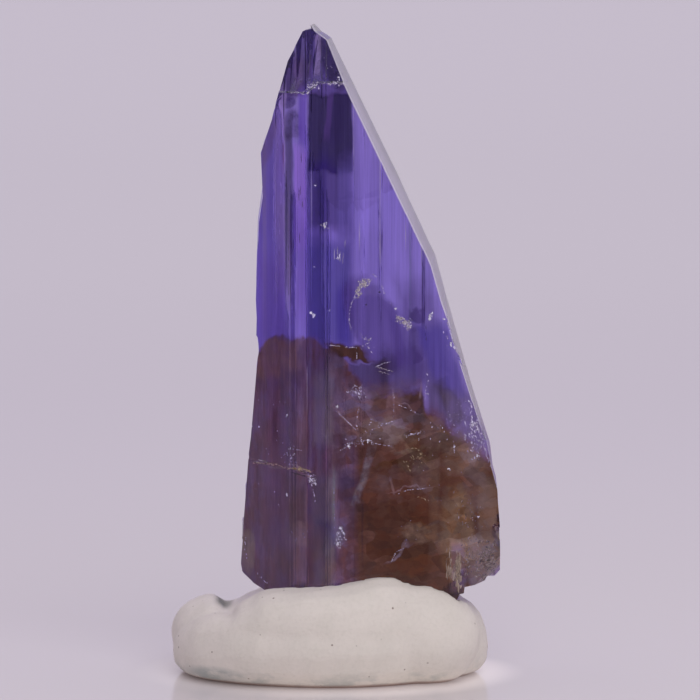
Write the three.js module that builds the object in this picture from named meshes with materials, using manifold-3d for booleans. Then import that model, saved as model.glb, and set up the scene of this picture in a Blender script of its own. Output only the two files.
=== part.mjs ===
// A rough tanzanite crystal, pressed upright into a lump of off-white mounting putty.
// Millimetres, +Z up, +X to the right and -Y towards the front. The origin is at the bottom centre
// of the whole, on the surface that the putty rests on.
import * as THREE from 'three';
import { mergeVertices } from 'three/addons/utils/BufferGeometryUtils.js';
import Module from 'manifold-3d';

const wasm = await Module();
wasm.setup();

// ---- Driving dimensions -------------------------------------------------------------------------

const CRYSTAL_LEFT = -4.93;          // widest point of the flared foot
const CRYSTAL_RIGHT = 8.68;          // vertical part of the right side
const CRYSTAL_FOOT = 3.7;            // lowest point, inside the putty
const CRYSTAL_TIP = 34.27;
const LEDGE_LEFT = 30.8;             // small ledge under the pointed cap, on the left face
const LEDGE_RIGHT = 31.35;           // and where it climbs on the centre face
const PUTTY_HALF_DEPTH = 6.6;
const PUTTY_CENTRE_X = -0.35;
const PUTTY_HALF_WIDTH = 8.32;
const SEAT_GAP = 0.3;                // between the crystal and the pocket that it has pressed

// Corners of the prism seen from above, anticlockwise from the front left.
const CORNERS = {
  left: [-5.3, -0.83],
  mainEdge: [-1.4, -3.75],
  secondEdge: [1.03, -4.05],
  right: [9.3, -2.85],
  rightBack: [9.3, 2.6],
  back: [0.95, 4.6],
  backLeft: [0.1, 4.42],
  leftBack: [-5.3, -0.33],
};

// Growth steps that run up each prism face: [distance along the face as a share, depth].
const LEFT_FACE_STEPS = [
  [0.12, 0.05], [0.33, 0.01], [0.57, 0.09], [0.67, 0.14], [0.76, 0.04], [0.85, 0], [0.97, 0.05],
];
const CENTRE_FACE_STEPS = [
  [0.08, 0.04], [0.3, 0.07], [0.39, 0.02], [0.86, 0.04],
];
const RIGHT_FACE_STEPS = [
  [0.03, 0.05], [0.06, 0.01], [0.16, 0.13], [0.175, 0.03], [0.32, 0.09], [0.36, 0.02],
  [0.42, 0.12], [0.46, 0.05], [0.64, 0.03], [0.74, 0.13], [0.85, 0.07],
];
const SIDE_FACE_STEPS = [[0.28, 0.05], [0.5, 0.02], [0.8, 0.06]];
const BACK_FACE_STEPS = [[0.11, 0.09], [0.27, 0.03], [0.41, 0.12], [0.6, 0.06], [0.7, 0.1], [0.88, 0.03]];
const BACK_LEFT_FACE_STEPS = [[0.2, 0.06], [0.34, 0.02], [0.62, 0.08], [0.71, 0.03]];

// Height, and how much of its depth the front half keeps there. The ledge is a sudden step back.
const FRONT_LEVELS = [
  { z: 2, depth: 1 },
  { z: 17, depth: 0.985 },
  { z: LEDGE_LEFT, depth: 0.95, followsLedge: true },
  { z: LEDGE_LEFT + 0.1, depth: 0.88, followsLedge: true },
  { z: CRYSTAL_TIP + 0.4, depth: 0.27 },
];
// Faces that close the point from behind: a point on each plane, and the way that it faces.
const BACK_CAP_FACES = [
  [[0, 4.5, 24.6], [0.03, 0.95, 0.3]],
  [[-3.5, 0.35, 29.7], [-0.7, 0.5, 0.35]],
];

// Outline seen from the front, anticlockwise from the lower right: [x, z, lean]. The lean is how far
// the side moves in x for each millimetre further back.
const FRONT_OUTLINE = [
  [8.03, 5.5, 0.01],
  [8.4, 5.4, 0.01],
  [CRYSTAL_RIGHT, 5.7, 0.01],
  [8.62, 8.4, 0.012],
  [8.5, 10.1, 0.015],
  [8.08, 11.9, 0.03],
  [5.0, 21.9, 0.052],
  [-0.4, 33.5, 0.063],
  [-1.29, CRYSTAL_TIP, 0.1],
  [-1.6, 33.95, 0.03],
  [-2.42, 32.4, 0.03],
  [-3.82, 27.65, 0.01],
  [-3.93, 24, -0.035],
  [-3.95, 17.3, 0],
  [-4.75, 8.3, 0],
  [CRYSTAL_LEFT, 5.95, 0],
  [-4.86, 5.55, 0],
  [-4.2, 5.0, 0],
  [-3.5, 4.65, 0],
  [-2.6, 4.0, 0],
  [-0.8, 3.85, 0],
  [2.2, CRYSTAL_FOOT, 0],
  [5.4, 3.8, 0],
  [6.36, 4.25, 0],
  [6.54, 4.65, 0],
  [6.76, 4.7, 0],
  [6.8, 5.02, 0],
  [7.9, 5.25, 0],
];

// Breaks at the foot: a point on each plane, and the way that it faces.
const FOOT_BREAKS = [
  [[-4.55, -1.4, 5.25], [-0.7, -0.5, -0.75]],
  [[-4.7, 1.0, 5.9], [-0.7, 0.45, -0.55]],
  [[2.0, 4.25, 4.7], [0.1, 0.87, -0.48]],
  [[7.9, 2.6, 6.4], [0.6, 0.6, -0.5]],
  [[8.5, -2.4, 6.1], [0.75, -0.5, -0.6]],
];
// Flakes out of the right face: centre, half sizes and tilt. The upper one has a smooth arched rim.
const FLAKE_HOLLOWS = [
  { at: [2.4, -4.08, 18.1], size: [1.9, 0.58, 3.9], turn: 0.16, facets: false },
  { at: [2.6, -4.02, 13.1], size: [2.2, 0.42, 1.5], turn: 0.5, facets: true },
  { at: [5.2, -3.72, 9.4], size: [1.5, 0.4, 2.1], turn: -0.4, facets: true },
];
const OPEN_CRACKS = [
  { from: [-4.6, -1.3, 11.55], to: [-3.1, -2.44, 11.35], width: 0.1 },
  { from: [-3.2, -2.4, 11.38], to: [-1.3, -3.8, 10.95], width: 0.15 },
  { from: [-1.5, -3.72, 10.98], to: [-0.6, -3.9, 11.5], width: 0.1 },
];
const ETCHED_PATCHES = [
  { count: 16, x: [6.4, 8.5], y: [-3.35, -3.05], z: [5.6, 9.4], radius: [0.22, 0.46], flatness: 0.6 },
  { count: 8, x: [8.65, 8.75], y: [-2.6, 1.9], z: [6.2, 8.8], radius: [0.25, 0.5], flatness: 1 },
  { count: 7, x: [-0.95, 0.42], y: [-3.72, -3.78], z: [31.1, 31.45], radius: [0.06, 0.11], flatness: 0.7 },
];
const RIGHT_LEAN_FROM = -2.9;        // y of the front edge of the right side, where the lean starts
const LEFT_LEAN_FROM = -1.84;
const SLAB_HALF_DEPTH = 8;

// Half of the putty's section: radius and height as shares of its half width and its rim height.
const PUTTY_PROFILE = [
  [0, 0], [0.86, 0], [0.925, 0.06], [0.975, 0.18], [1, 0.38], [0.99, 0.58], [0.955, 0.75],
  [0.89, 0.89], [0.78, 0.97], [0.64, 1], [0.3, 0.97], [0, 0.95],
];
const RIM_HEIGHTS = [
  [-8.8, 3.5], [-6.6, 3.8], [-4.9, 4.42], [-3.5, 4.98], [0.2, 5.18], [2.9, 5.58], [4.7, 5.2],
  [6.4, 4.75], [7.2, 4.6], [8.4, 4.3],
];
const RIM_Y = -5;                    // where the rim heights hold
const PUTTY_FALL = 0.022;            // share of its height that the putty loses per millimetre back
const PUTTY_FOLDS = [
  { at: [-6.1, 0.9, 1.85], size: [2.5, 3.9, 2.2], turn: 0.25 },
  { at: [4.5, -3.2, 2.35], size: [3.2, 2.45, 2.62], turn: 0.2 },
  { at: [1.3, 4.4, 1.8], size: [5.4, 2.5, 2.55], turn: -0.12 },
];
const SEAT_CENTRE_X = 1.9;
const SEAT_GROWTH = [1.044, 1.085, 1];

// ---- Solids -------------------------------------------------------------------------------------

// A THREE geometry as a manifold solid.
function toSolid(geometry) {
  const bare = geometry.clone();
  bare.deleteAttribute('normal');
  bare.deleteAttribute('uv');
  const merged = mergeVertices(bare, 1e-5);
  return new wasm.Manifold(new wasm.Mesh({
    numProp: 3,
    vertProperties: new Float32Array(merged.getAttribute('position').array),
    triVerts: new Uint32Array(merged.getIndex().array),
  }));
}

// A manifold solid as a flat-shaded THREE geometry.
function toGeometry(solid) {
  const mesh = solid.getMesh();
  const geometry = new THREE.BufferGeometry();
  geometry.setAttribute('position', new THREE.BufferAttribute(new Float32Array(mesh.vertProperties), 3));
  geometry.setIndex(new THREE.BufferAttribute(new Uint32Array(mesh.triVerts), 1));
  return geometry;
}

// Closes a stack of rings, which all have the same number of points, into one body.
function loft(rings, flatten) {
  const count = rings[0].length;
  const last = (rings.length - 1) * count;
  const faces = [];
  for (let ring = 0; ring < last; ring += count) {
    for (let i = 0; i < count; i += 1) {
      const next = (i + 1) % count;
      faces.push(ring + i, ring + next, ring + count + next);
      faces.push(ring + i, ring + count + next, ring + count + i);
    }
  }
  for (const [a, b, c] of THREE.ShapeUtils.triangulateShape(rings[0].map(flatten), [])) {
    faces.push(a, c, b);
    faces.push(last + a, last + b, last + c);
  }
  const geometry = new THREE.BufferGeometry();
  const positions = rings.flat().flatMap((point) => point.toArray());
  geometry.setAttribute('position', new THREE.Float32BufferAttribute(positions, 3));
  geometry.setIndex(faces);
  return geometry;
}

// A solid moved, turned and scaled as a THREE geometry is.
function placed(geometry, position, rotation = [0, 0, 0], scale = [1, 1, 1]) {
  const matrix = new THREE.Matrix4().compose(
    new THREE.Vector3(...position),
    new THREE.Quaternion().setFromEuler(new THREE.Euler(...rotation)),
    new THREE.Vector3(...scale),
  );
  return toSolid(geometry.clone().applyMatrix4(matrix));
}

// Removes everything on the far side of a plane, which faces along its normal.
function sliceOff(solid, point, normal) {
  const size = 90;
  const direction = new THREE.Vector3(...normal).normalize();
  const turn = new THREE.Quaternion().setFromUnitVectors(new THREE.Vector3(0, 0, 1), direction);
  const centre = new THREE.Vector3(...point).addScaledVector(direction, size / 2);
  const waste = new THREE.BoxGeometry(size, size, size);
  waste.applyMatrix4(new THREE.Matrix4().compose(centre, turn, new THREE.Vector3(1, 1, 1)));
  return solid.subtract(toSolid(waste));
}

// ---- Crystal ------------------------------------------------------------------------------------

// One prism face seen from above: a straight run from corner to corner, broken by its growth steps.
function steppedFace(from, to, steps) {
  const start = new THREE.Vector2(...from);
  const along = new THREE.Vector2(...to).sub(start);
  const inward = new THREE.Vector2(-along.y, along.x).normalize();
  const riser = 0.05 / along.length();
  const points = [start.clone()];
  let depth = 0;
  for (const [share, nextDepth] of steps) {
    points.push(start.clone().addScaledVector(along, share).addScaledVector(inward, depth));
    points.push(start.clone().addScaledVector(along, share + riser).addScaledVector(inward, nextDepth));
    depth = nextDepth;
  }
  points.push(start.clone().addScaledVector(along, 0.995).addScaledVector(inward, depth));
  return points;
}

function prismOutline() {
  const c = CORNERS;
  return [
    ...steppedFace(c.left, c.mainEdge, LEFT_FACE_STEPS),
    ...steppedFace(c.mainEdge, c.secondEdge, CENTRE_FACE_STEPS),
    ...steppedFace(c.secondEdge, c.right, RIGHT_FACE_STEPS),
    ...steppedFace(c.right, c.rightBack, SIDE_FACE_STEPS),
    ...steppedFace(c.rightBack, c.back, BACK_FACE_STEPS),
    ...steppedFace(c.back, c.backLeft, []),
    ...steppedFace(c.backLeft, c.leftBack, BACK_LEFT_FACE_STEPS),
    ...steppedFace(c.leftBack, c.left, []),
  ];
}

// The striated prism. Its front half narrows in depth towards the cap.
function striatedPrism() {
  const outline = prismOutline();
  const rings = FRONT_LEVELS.map(({ z, depth, followsLedge }) => outline.map((point) => {
    const climb = followsLedge ? THREE.MathUtils.smoothstep(point.x, -1.5, -0.7) : 0;
    const y = point.y < 0 ? point.y * depth : point.y;
    return new THREE.Vector3(point.x, y, z + climb * (LEDGE_RIGHT - LEDGE_LEFT));
  }));
  return toSolid(loft(rings, (point) => new THREE.Vector2(point.x, point.y)));
}

// The slab whose front outline is the crystal's, with sides that lean a little from front to back.
function outlineSlab() {
  const rings = [-SLAB_HALF_DEPTH, SLAB_HALF_DEPTH].map((y) => FRONT_OUTLINE.map(([x, z, lean]) => {
    const from = x > 0 ? RIGHT_LEAN_FROM : LEFT_LEAN_FROM;
    return new THREE.Vector3(x + lean * (y - from), y, z);
  }).reverse());
  return toSolid(loft(rings, (point) => new THREE.Vector2(-point.x, point.z)));
}

// Cuts the crystal back to each of the planes.
function withFaces(crystal, faces) {
  return faces.reduce((solid, [point, normal]) => sliceOff(solid, point, normal), crystal);
}

// Shallow hollows where flakes have broken out of the right face.
function flakeHollow({ at, size, turn, facets }) {
  const flake = facets ? new THREE.DodecahedronGeometry(1, 0) : new THREE.SphereGeometry(1, 18, 12);
  return placed(flake, at, [0, turn, 0], size);
}

// A narrow open crack: a three-sided notch from one end point to the other.
function openCrack({ from, to, width }) {
  const start = new THREE.Vector3(...from);
  const along = new THREE.Vector3(...to).sub(start);
  const notch = new THREE.CylinderGeometry(width, width, along.length(), 3);
  notch.translate(0, along.length() / 2, 0);
  const turn = new THREE.Quaternion().setFromUnitVectors(new THREE.Vector3(0, 1, 0), along.normalize());
  notch.applyMatrix4(new THREE.Matrix4().compose(start, turn, new THREE.Vector3(1, 1, 1)));
  return toSolid(notch);
}

// Etched pits, scattered over a patch of a face by a fixed even sequence.
function pits({ count, x, y, z, radius, flatness }) {
  const pit = new THREE.IcosahedronGeometry(1, 0);
  return Array.from({ length: count }, (_, i) => {
    const across = (i * 0.618034 + 0.3) % 1;
    const up = (i * 0.754878 + 0.1) % 1;
    const size = THREE.MathUtils.lerp(radius[0], radius[1], (i * 0.569840 + 0.5) % 1);
    return placed(
      pit,
      [THREE.MathUtils.lerp(...x, across), THREE.MathUtils.lerp(...y, across), THREE.MathUtils.lerp(...z, up)],
      [i, 2 * i, 3 * i],
      [size, size * flatness, size * 1.25],
    );
  });
}

function makeCrystal() {
  let crystal = striatedPrism().intersect(outlineSlab());
  crystal = withFaces(crystal, [...BACK_CAP_FACES, ...FOOT_BREAKS]);
  const waste = [
    ...FLAKE_HOLLOWS.map(flakeHollow),
    ...OPEN_CRACKS.map(openCrack),
    ...ETCHED_PATCHES.flatMap(pits),
  ];
  for (const shape of waste) {
    crystal = crystal.subtract(shape);
  }
  return crystal;
}

// ---- Putty --------------------------------------------------------------------------------------

// Height of the putty's upper edge at one x.
function rimHeight(x) {
  const i = Math.max(1, RIM_HEIGHTS.findIndex(([at]) => at > x));
  const [fromX, from] = RIM_HEIGHTS[i - 1];
  const [toX, to] = RIM_HEIGHTS[i];
  return THREE.MathUtils.lerp(from, to, THREE.MathUtils.smoothstep(x, fromX, toX));
}

// The body of the putty: a pressed disc with a bulging edge, as high as its rim says at each x.
function puttyBody() {
  const profile = PUTTY_PROFILE.map(([radius, height]) => new THREE.Vector2(radius, height));
  const disc = new THREE.LatheGeometry(profile, 56);
  disc.rotateX(Math.PI / 2);
  const place = disc.getAttribute('position');
  for (let i = 0; i < place.count; i += 1) {
    const angle = Math.atan2(place.getY(i), place.getX(i));
    const wobble = 1 + 0.018 * Math.sin(3 * angle + 0.6) + 0.012 * Math.sin(5 * angle + 2.1);
    const x = PUTTY_CENTRE_X + place.getX(i) * PUTTY_HALF_WIDTH * wobble;
    const y = place.getY(i) * PUTTY_HALF_DEPTH * wobble;
    const height = rimHeight(x) * (1 - PUTTY_FALL * (y - RIM_Y));
    place.setXYZ(i, x, y, place.getZ(i) * height);
  }
  return toSolid(disc);
}

function makePutty(crystal) {
  let putty = puttyBody();
  for (const { at, size, turn } of PUTTY_FOLDS) {
    putty = putty.add(placed(new THREE.SphereGeometry(1, 28, 18), at, [0, 0, turn], size));
  }
  putty = sliceOff(putty, [0, 0, 0], [0, 0, -1]);
  const grown = placed(
    toGeometry(crystal),
    [-SEAT_CENTRE_X * (SEAT_GROWTH[0] - 1), 0, -SEAT_GAP],
    [0, 0, 0],
    SEAT_GROWTH,
  );
  return putty.subtract(grown);
}

// ---- Assembly -----------------------------------------------------------------------------------

const tanzanite = new THREE.MeshStandardMaterial({ color: 0x5b49a6, roughness: 0.12, metalness: 0 });

const putty = new THREE.MeshStandardMaterial({ color: 0xd8cfcb, roughness: 0.75, metalness: 0 });

const part = new THREE.Group();

function addPiece(name, solid, material) {
  const mesh = new THREE.Mesh(toGeometry(solid), material);
  mesh.name = name;
  part.add(mesh);
}

const crystal = makeCrystal();
addPiece('tanzanite_crystal', crystal, tanzanite);
addPiece('putty_base', makePutty(crystal), putty);

// The origin goes to the bottom centre of the whole.
const bounds = new THREE.Box3().setFromObject(part);
const middle = bounds.getCenter(new THREE.Vector3());
for (const mesh of part.children) {
  mesh.position.set(-middle.x, -middle.y, -bounds.min.z);
}

export default part;
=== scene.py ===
# A rough tanzanite crystal standing in a lump of putty, on a pale studio table.
import bpy
import bmesh
import math
import random
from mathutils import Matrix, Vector, noise
from mathutils.bvhtree import BVHTree


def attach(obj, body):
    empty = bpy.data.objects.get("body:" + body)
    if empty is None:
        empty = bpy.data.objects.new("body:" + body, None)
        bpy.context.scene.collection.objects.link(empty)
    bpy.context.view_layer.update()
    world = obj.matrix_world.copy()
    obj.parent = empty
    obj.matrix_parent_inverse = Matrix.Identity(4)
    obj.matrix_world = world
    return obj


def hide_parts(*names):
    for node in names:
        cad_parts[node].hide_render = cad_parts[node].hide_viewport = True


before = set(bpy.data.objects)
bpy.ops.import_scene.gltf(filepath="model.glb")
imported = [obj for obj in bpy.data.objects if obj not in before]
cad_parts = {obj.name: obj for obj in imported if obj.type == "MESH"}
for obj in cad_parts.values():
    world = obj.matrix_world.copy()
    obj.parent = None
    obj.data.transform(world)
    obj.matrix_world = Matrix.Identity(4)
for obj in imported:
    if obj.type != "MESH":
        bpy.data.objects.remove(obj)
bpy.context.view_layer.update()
MM = 0.001
scene = bpy.context.scene


# ---- Camera --------------------------------------------------------------------------------------
# A long lens looks slightly down on the front of the stone.
# It is far enough away that the upright edges stay parallel.
CAMERA_TILT = math.radians(6)
CAMERA_DISTANCE = 0.25
PIXELS_PER_METRE = 19000
IMAGE_PIXELS = 700
SENSOR_WIDTH = 36
NEAREST_SEEN = 0.01
FARTHEST_SEEN = 20
LOOK_AT = Vector((0.81, -0.1, 17.14)) * MM


def placed(name, data):
    """Puts a new object into the scene."""
    thing = bpy.data.objects.new(name, data)
    scene.collection.objects.link(thing)
    return thing


camera_data = bpy.data.cameras.new("camera")
camera_data.sensor_width = SENSOR_WIDTH
camera_data.lens = CAMERA_DISTANCE * PIXELS_PER_METRE * SENSOR_WIDTH / IMAGE_PIXELS
camera_data.clip_start = NEAREST_SEEN
camera_data.clip_end = FARTHEST_SEEN
camera = placed("camera", camera_data)
towards_camera = Vector((0, -math.cos(CAMERA_TILT), math.sin(CAMERA_TILT)))
camera.location = LOOK_AT + towards_camera * CAMERA_DISTANCE
camera.rotation_euler = (math.radians(90) - CAMERA_TILT, 0, 0)
scene.camera = camera
scene.view_settings.view_transform = "Standard"


# ---- Light tent ----------------------------------------------------------------------------------
# The stone is lit by a pale cloth tent, which is bright behind and above it, and by a soft lamp
# from the right in front. The side with the lens is darker, and darkest in the mirror of the
# front faces, so that they stay free of glare. The light that comes through the stone is bluer.
TENT_COLOUR = (0.610, 0.555, 0.660, 1)
THROUGH_STONE_COLOUR = (0.60, 0.54, 0.96, 1)
THROUGH_STONE_SHARE = 1.30
TENT_FRONT_SHARE = 0.47
MIRRORED_FRONT_SHARE = 0.09
TENT_FRONT_TO_BACK = (-0.45, 0.3)
TENT_TOP_SHARE = 1.4
TENT_SIDE_TO_TOP = (0.35, 0.8)
TENT_HORIZON_SHARE = 0.93
TENT_HORIZON_TO_SIDE = (0.03, 0.09)
LAMP_PLACE = (0.06, -0.18, 0.16)
LAMP_AIM = Vector((0, 0, 0.01))
LAMP_SIZE = 0.26
LAMP_WATTS = 0.36

world = bpy.data.worlds.new("tent")
world.use_nodes = True
scene.world = world
tent = world.node_tree
cloth = tent.nodes["Background"]


def put(tree, kind, links=None, values=None, **settings):
    """Adds a node to a tree. links joins outputs to its inputs, and values sets the other inputs."""
    node = tree.nodes.new(kind)
    for name, value in settings.items():
        setattr(node, name, value)
    for name, value in (values or {}).items():
        node.inputs[name].default_value = value
    for name, output in (links or {}).items():
        tree.links.new(output, node.inputs[name])
    return node


def fed(tree, node, terms):
    """Feeds numbers, colours or outputs to the inputs of a node."""
    for socket, term in terms:
        if isinstance(term, (int, float, tuple)):
            node.inputs[socket].default_value = term
        else:
            tree.links.new(term, node.inputs[socket])
    return node


def maths(tree, operation, *terms):
    """One maths node on numbers or outputs."""
    return fed(tree, put(tree, "ShaderNodeMath", operation=operation), enumerate(terms)).outputs[0]


def product(tree, value, *factors):
    """A value multiplied by one factor after the other."""
    for factor in factors:
        value = maths(tree, "MULTIPLY", value, factor)
    return value


def ramped(tree, value, low, high, at_low=0.0, at_high=1.0, course="LINEAR"):
    """A value that goes from one level to another between two limits."""
    node = put(tree, "ShaderNodeMapRange", {"Value": value}, interpolation_type=course)
    limits = (("From Min", low), ("From Max", high), ("To Min", at_low), ("To Max", at_high))
    return fed(tree, node, limits).outputs["Result"]


def eased(tree, *terms):
    """A ramp that starts and ends softly."""
    return ramped(tree, *terms, course="SMOOTHSTEP")


def blended(tree, kind, factor, under, over):
    """Two colours mixed by a factor."""
    mix = put(tree, "ShaderNodeMix", data_type="RGBA", blend_type=kind, clamp_result=True)
    return fed(tree, mix, ((0, factor), (6, under), (7, over))).outputs[2]


def axes_of(tree, vector):
    """The X, Y and Z of a place or a direction."""
    return put(tree, "ShaderNodeSeparateXYZ", {"Vector": vector}).outputs


def mirrored(tree):
    """1 for light that a glossy surface throws back, and 0 for all other light."""
    path = put(tree, "ShaderNodeLightPath").outputs
    return product(tree, path["Is Reflection Ray"], maths(tree, "SUBTRACT", 1.0, path["Is Diffuse Ray"]))


heading = axes_of(tent, put(tent, "ShaderNodeTexCoord").outputs["Generated"])
front_share = eased(tent, mirrored(tent), 0, 1, TENT_FRONT_SHARE, MIRRORED_FRONT_SHARE)
from_front = eased(tent, heading["Y"], *TENT_FRONT_TO_BACK, front_share, 1.0)
from_top = eased(tent, heading["Z"], *TENT_SIDE_TO_TOP, 1.0, TENT_TOP_SHARE)
from_low = eased(tent, heading["Z"], *TENT_HORIZON_TO_SIDE, TENT_HORIZON_SHARE, 1.0)
path = put(tent, "ShaderNodeLightPath").outputs
tent_light = eased(tent, path["Is Camera Ray"], 0, 1, product(tent, from_front, from_top, from_low), 1.0)
through_stone = eased(tent, path["Is Transmission Ray"], 0, 1, 1.0, THROUGH_STONE_SHARE)
tent.links.new(product(tent, tent_light, through_stone), cloth.inputs["Strength"])
dyed = blended(tent, "MIX", path["Is Transmission Ray"], TENT_COLOUR, THROUGH_STONE_COLOUR)
tent.links.new(dyed, cloth.inputs["Color"])

lamp_data = bpy.data.lights.new("lamp", "AREA")
lamp_data.shape = "DISK"
lamp_data.size = LAMP_SIZE
lamp_data.energy = LAMP_WATTS
lamp = placed("lamp", lamp_data)
lamp.location = LAMP_PLACE
lamp.rotation_euler = (LAMP_AIM - lamp.location).to_track_quat("-Z", "Y").to_euler()
lamp.visible_camera = False
lamp.visible_glossy = False


# ---- Tanzanite crystal ---------------------------------------------------------------------------
# One grown crystal of zoisite, clear violet-blue, and brown towards its foot, where iron colours it.
# Its long faces are striated by growth steps, and its foot is broken, etched and gripped by the putty.
# Places and sizes are in millimetres in the part's own frame.
FACE_LINES = [
    ((-5.3, -0.93), (-1.4, -3.85)),
    ((-1.4, -3.85), (1.03, -4.15)),
    ((1.03, -4.15), (9.3, -2.95)),
    ((9.3, 2.5), (0.95, 4.5)),
    ((0.95, 4.5), (0.1, 4.32)),
    ((0.1, 4.32), (-5.3, -0.43)),
]
FRONT_TAPER = [(2, 1.0), (17, 0.985), (30.8, 0.95), (31.35, 0.88), (34.7, 0.27)]
TAPER_AXIS_Y = -0.1
# The growth steps lie within STEP_REACH of a face. Their strength swings across it and, far more
# slowly, along it, and a faint ripple lies over them.
STEP_REACH = 0.19
STEP_STRENGTH = 0.55
STEP_SWING = 0.95
STEP_LIMITS = (0.08, 1.2)
ACROSS_SWINGS = 2.1
UPRIGHT_SWINGS = 0.13
FOOT_STEP_TOP = 20
FOOT_STEP_FADE = 3
FOOT_STEP_SHARE = 0.05
RIPPLE_DEPTH = 0.012
ACROSS_RIPPLES = 1.3
UPRIGHT_RIPPLES = 0.35
# The hollows of the broken front face are nearly levelled here, because tints show them better:
# their shade is painted into the stone's colour.
BROKEN_X = (0.2, 8)
BROKEN_Z = (7, 24)
HOLLOW_REACH = 0.75
HOLLOW_SHARE = 0.03
HOLLOW_FADE = 2
FACE_SLACK = 0.02
CORNER_MARGIN = 0.03
WELD_DISTANCE = 0.002
CUT_SPACING = 0.9

crystal_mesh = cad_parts["tanzanite_crystal"].data.copy()
crystal = placed("crystal", crystal_mesh)


def clamped(value):
    """A value kept between 0 and 1."""
    return max(0, min(1, value))


def level_at(course, place):
    """The level at a place, between the (place, level) corners of a course."""
    for (start, level), (end, next_level) in zip(course, course[1:]):
        if place <= end:
            return level + (next_level - level) * max(0, (place - start) / (end - start))
    return course[-1][1]


def softened_steps(place):
    """Makes the growth steps fade and return along their length. place is in millimetres."""
    x, y, z = place
    taper = level_at(FRONT_TAPER, z) if y < TAPER_AXIS_Y else 1
    full_y = TAPER_AXIS_Y + (y - TAPER_AXIS_Y) / taper
    on_broken_face = y < 0 and BROKEN_X[0] < x < BROKEN_X[1] and BROKEN_Z[0] < z < BROKEN_Z[1]
    for (x0, y0), (x1, y1) in FACE_LINES:
        run_x = x1 - x0
        run_y = y1 - y0
        length = math.hypot(run_x, run_y)
        along = ((x - x0) * run_x + (full_y - y0) * run_y) / length
        inward = ((full_y - y0) * run_x - (x - x0) * run_y) / length
        if on_broken_face and 0 < along < length and -FACE_SLACK < inward < HOLLOW_REACH:
            shift = inward * (HOLLOW_SHARE - 1) * clamped((BROKEN_Z[1] - z) / HOLLOW_FADE)
        elif CORNER_MARGIN < along < length - CORNER_MARGIN and -FACE_SLACK < inward < STEP_REACH:
            swing = noise.noise(Vector((x * ACROSS_SWINGS, y * ACROSS_SWINGS, z * UPRIGHT_SWINGS)))
            strength = min(STEP_LIMITS[1], max(STEP_LIMITS[0], STEP_STRENGTH + STEP_SWING * swing))
            strength *= FOOT_STEP_SHARE ** clamped((FOOT_STEP_TOP - z) / FOOT_STEP_FADE)
            ripple = noise.noise(Vector((x * ACROSS_RIPPLES + 7, y * ACROSS_RIPPLES, z * UPRIGHT_RIPPLES)))
            shift = inward * (strength - 1) + RIPPLE_DEPTH * ripple
        else:
            continue
        return Vector((x - run_y / length * shift, y + run_x / length * shift * taper, z))
    return Vector(place)


work = bmesh.new()
work.from_mesh(crystal_mesh)
bmesh.ops.remove_doubles(work, verts=work.verts, dist=WELD_DISTANCE * MM)
low_z = min(v.co.z for v in work.verts) / MM
high_z = max(v.co.z for v in work.verts) / MM
for cut in range(1, int((high_z - low_z) / CUT_SPACING)):
    bmesh.ops.bisect_plane(
        work, geom=work.verts[:] + work.edges[:] + work.faces[:],
        plane_co=(0, 0, (low_z + cut * CUT_SPACING) * MM), plane_no=(0, 0, 1),
    )
for vertex in work.verts:
    vertex.co = softened_steps(vertex.co / MM) * MM
bmesh.ops.triangulate(work, faces=work.faces[:])
work.to_mesh(crystal_mesh)
work.free()
for face in crystal_mesh.polygons:
    face.use_smooth = False

STONE_IOR = 1.69


def new_material(name):
    """A new material, its nodes and its shader."""
    material = bpy.data.materials.new(name)
    material.use_nodes = True
    return material, material.node_tree, material.node_tree.nodes["Principled BSDF"]


def in_millimetres(tree):
    """The place of each point of a piece, in millimetres."""
    place = put(tree, "ShaderNodeTexCoord").outputs["Object"]
    scaled = put(tree, "ShaderNodeVectorMath", {0: place}, {"Scale": 1 / MM}, operation="SCALE")
    return scaled.outputs["Vector"]


def vector_maths(tree, operation, *terms):
    """One vector maths node on outputs or plain vectors."""
    node = fed(tree, put(tree, "ShaderNodeVectorMath", operation=operation), enumerate(terms))
    return node.outputs["Value" if operation == "DISTANCE" else "Vector"]


def plain_noise(tree, place, **values):
    """Noise in all directions alike."""
    return put(tree, "ShaderNodeTexNoise", {"Vector": place}, values).outputs["Fac"]


def stretched_noise(tree, place, stretch, **values):
    """Noise that is drawn out by a different scale along each axis."""
    return plain_noise(tree, vector_maths(tree, "MULTIPLY", place, stretch), Scale=1.0, **values)


def between(tree, share, start, end):
    """The value that lies at a share of the way from one value to another."""
    return maths(tree, "ADD", start, product(tree, share, maths(tree, "SUBTRACT", end, start)))


def soft_edge(tree, value, middle, blur):
    """1 under a middle and 0 over it, with a blur on both sides of the middle."""
    low = maths(tree, "SUBTRACT", middle, blur)
    high = maths(tree, "ADD", middle, blur)
    return eased(tree, value, low, high, 1.0, 0.0)


def group_node(name, inputs, outputs):
    """A shader node group with named sockets, which the caller fills with nodes."""
    group = bpy.data.node_groups.new(name, "ShaderNodeTree")
    for socket in inputs:
        group.interface.new_socket(socket, in_out="INPUT", socket_type="NodeSocketFloat")
    for socket in outputs:
        group.interface.new_socket(socket, in_out="OUTPUT", socket_type="NodeSocketFloat")
    return group, group.nodes.new("NodeGroupInput").outputs, group.nodes.new("NodeGroupOutput").inputs


tanzanite, stone, shader = new_material("tanzanite")
shader.inputs["Transmission Weight"].default_value = 1
shader.inputs["IOR"].default_value = STONE_IOR
exact_place = in_millimetres(stone)
axes = axes_of(stone, exact_place)

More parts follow.
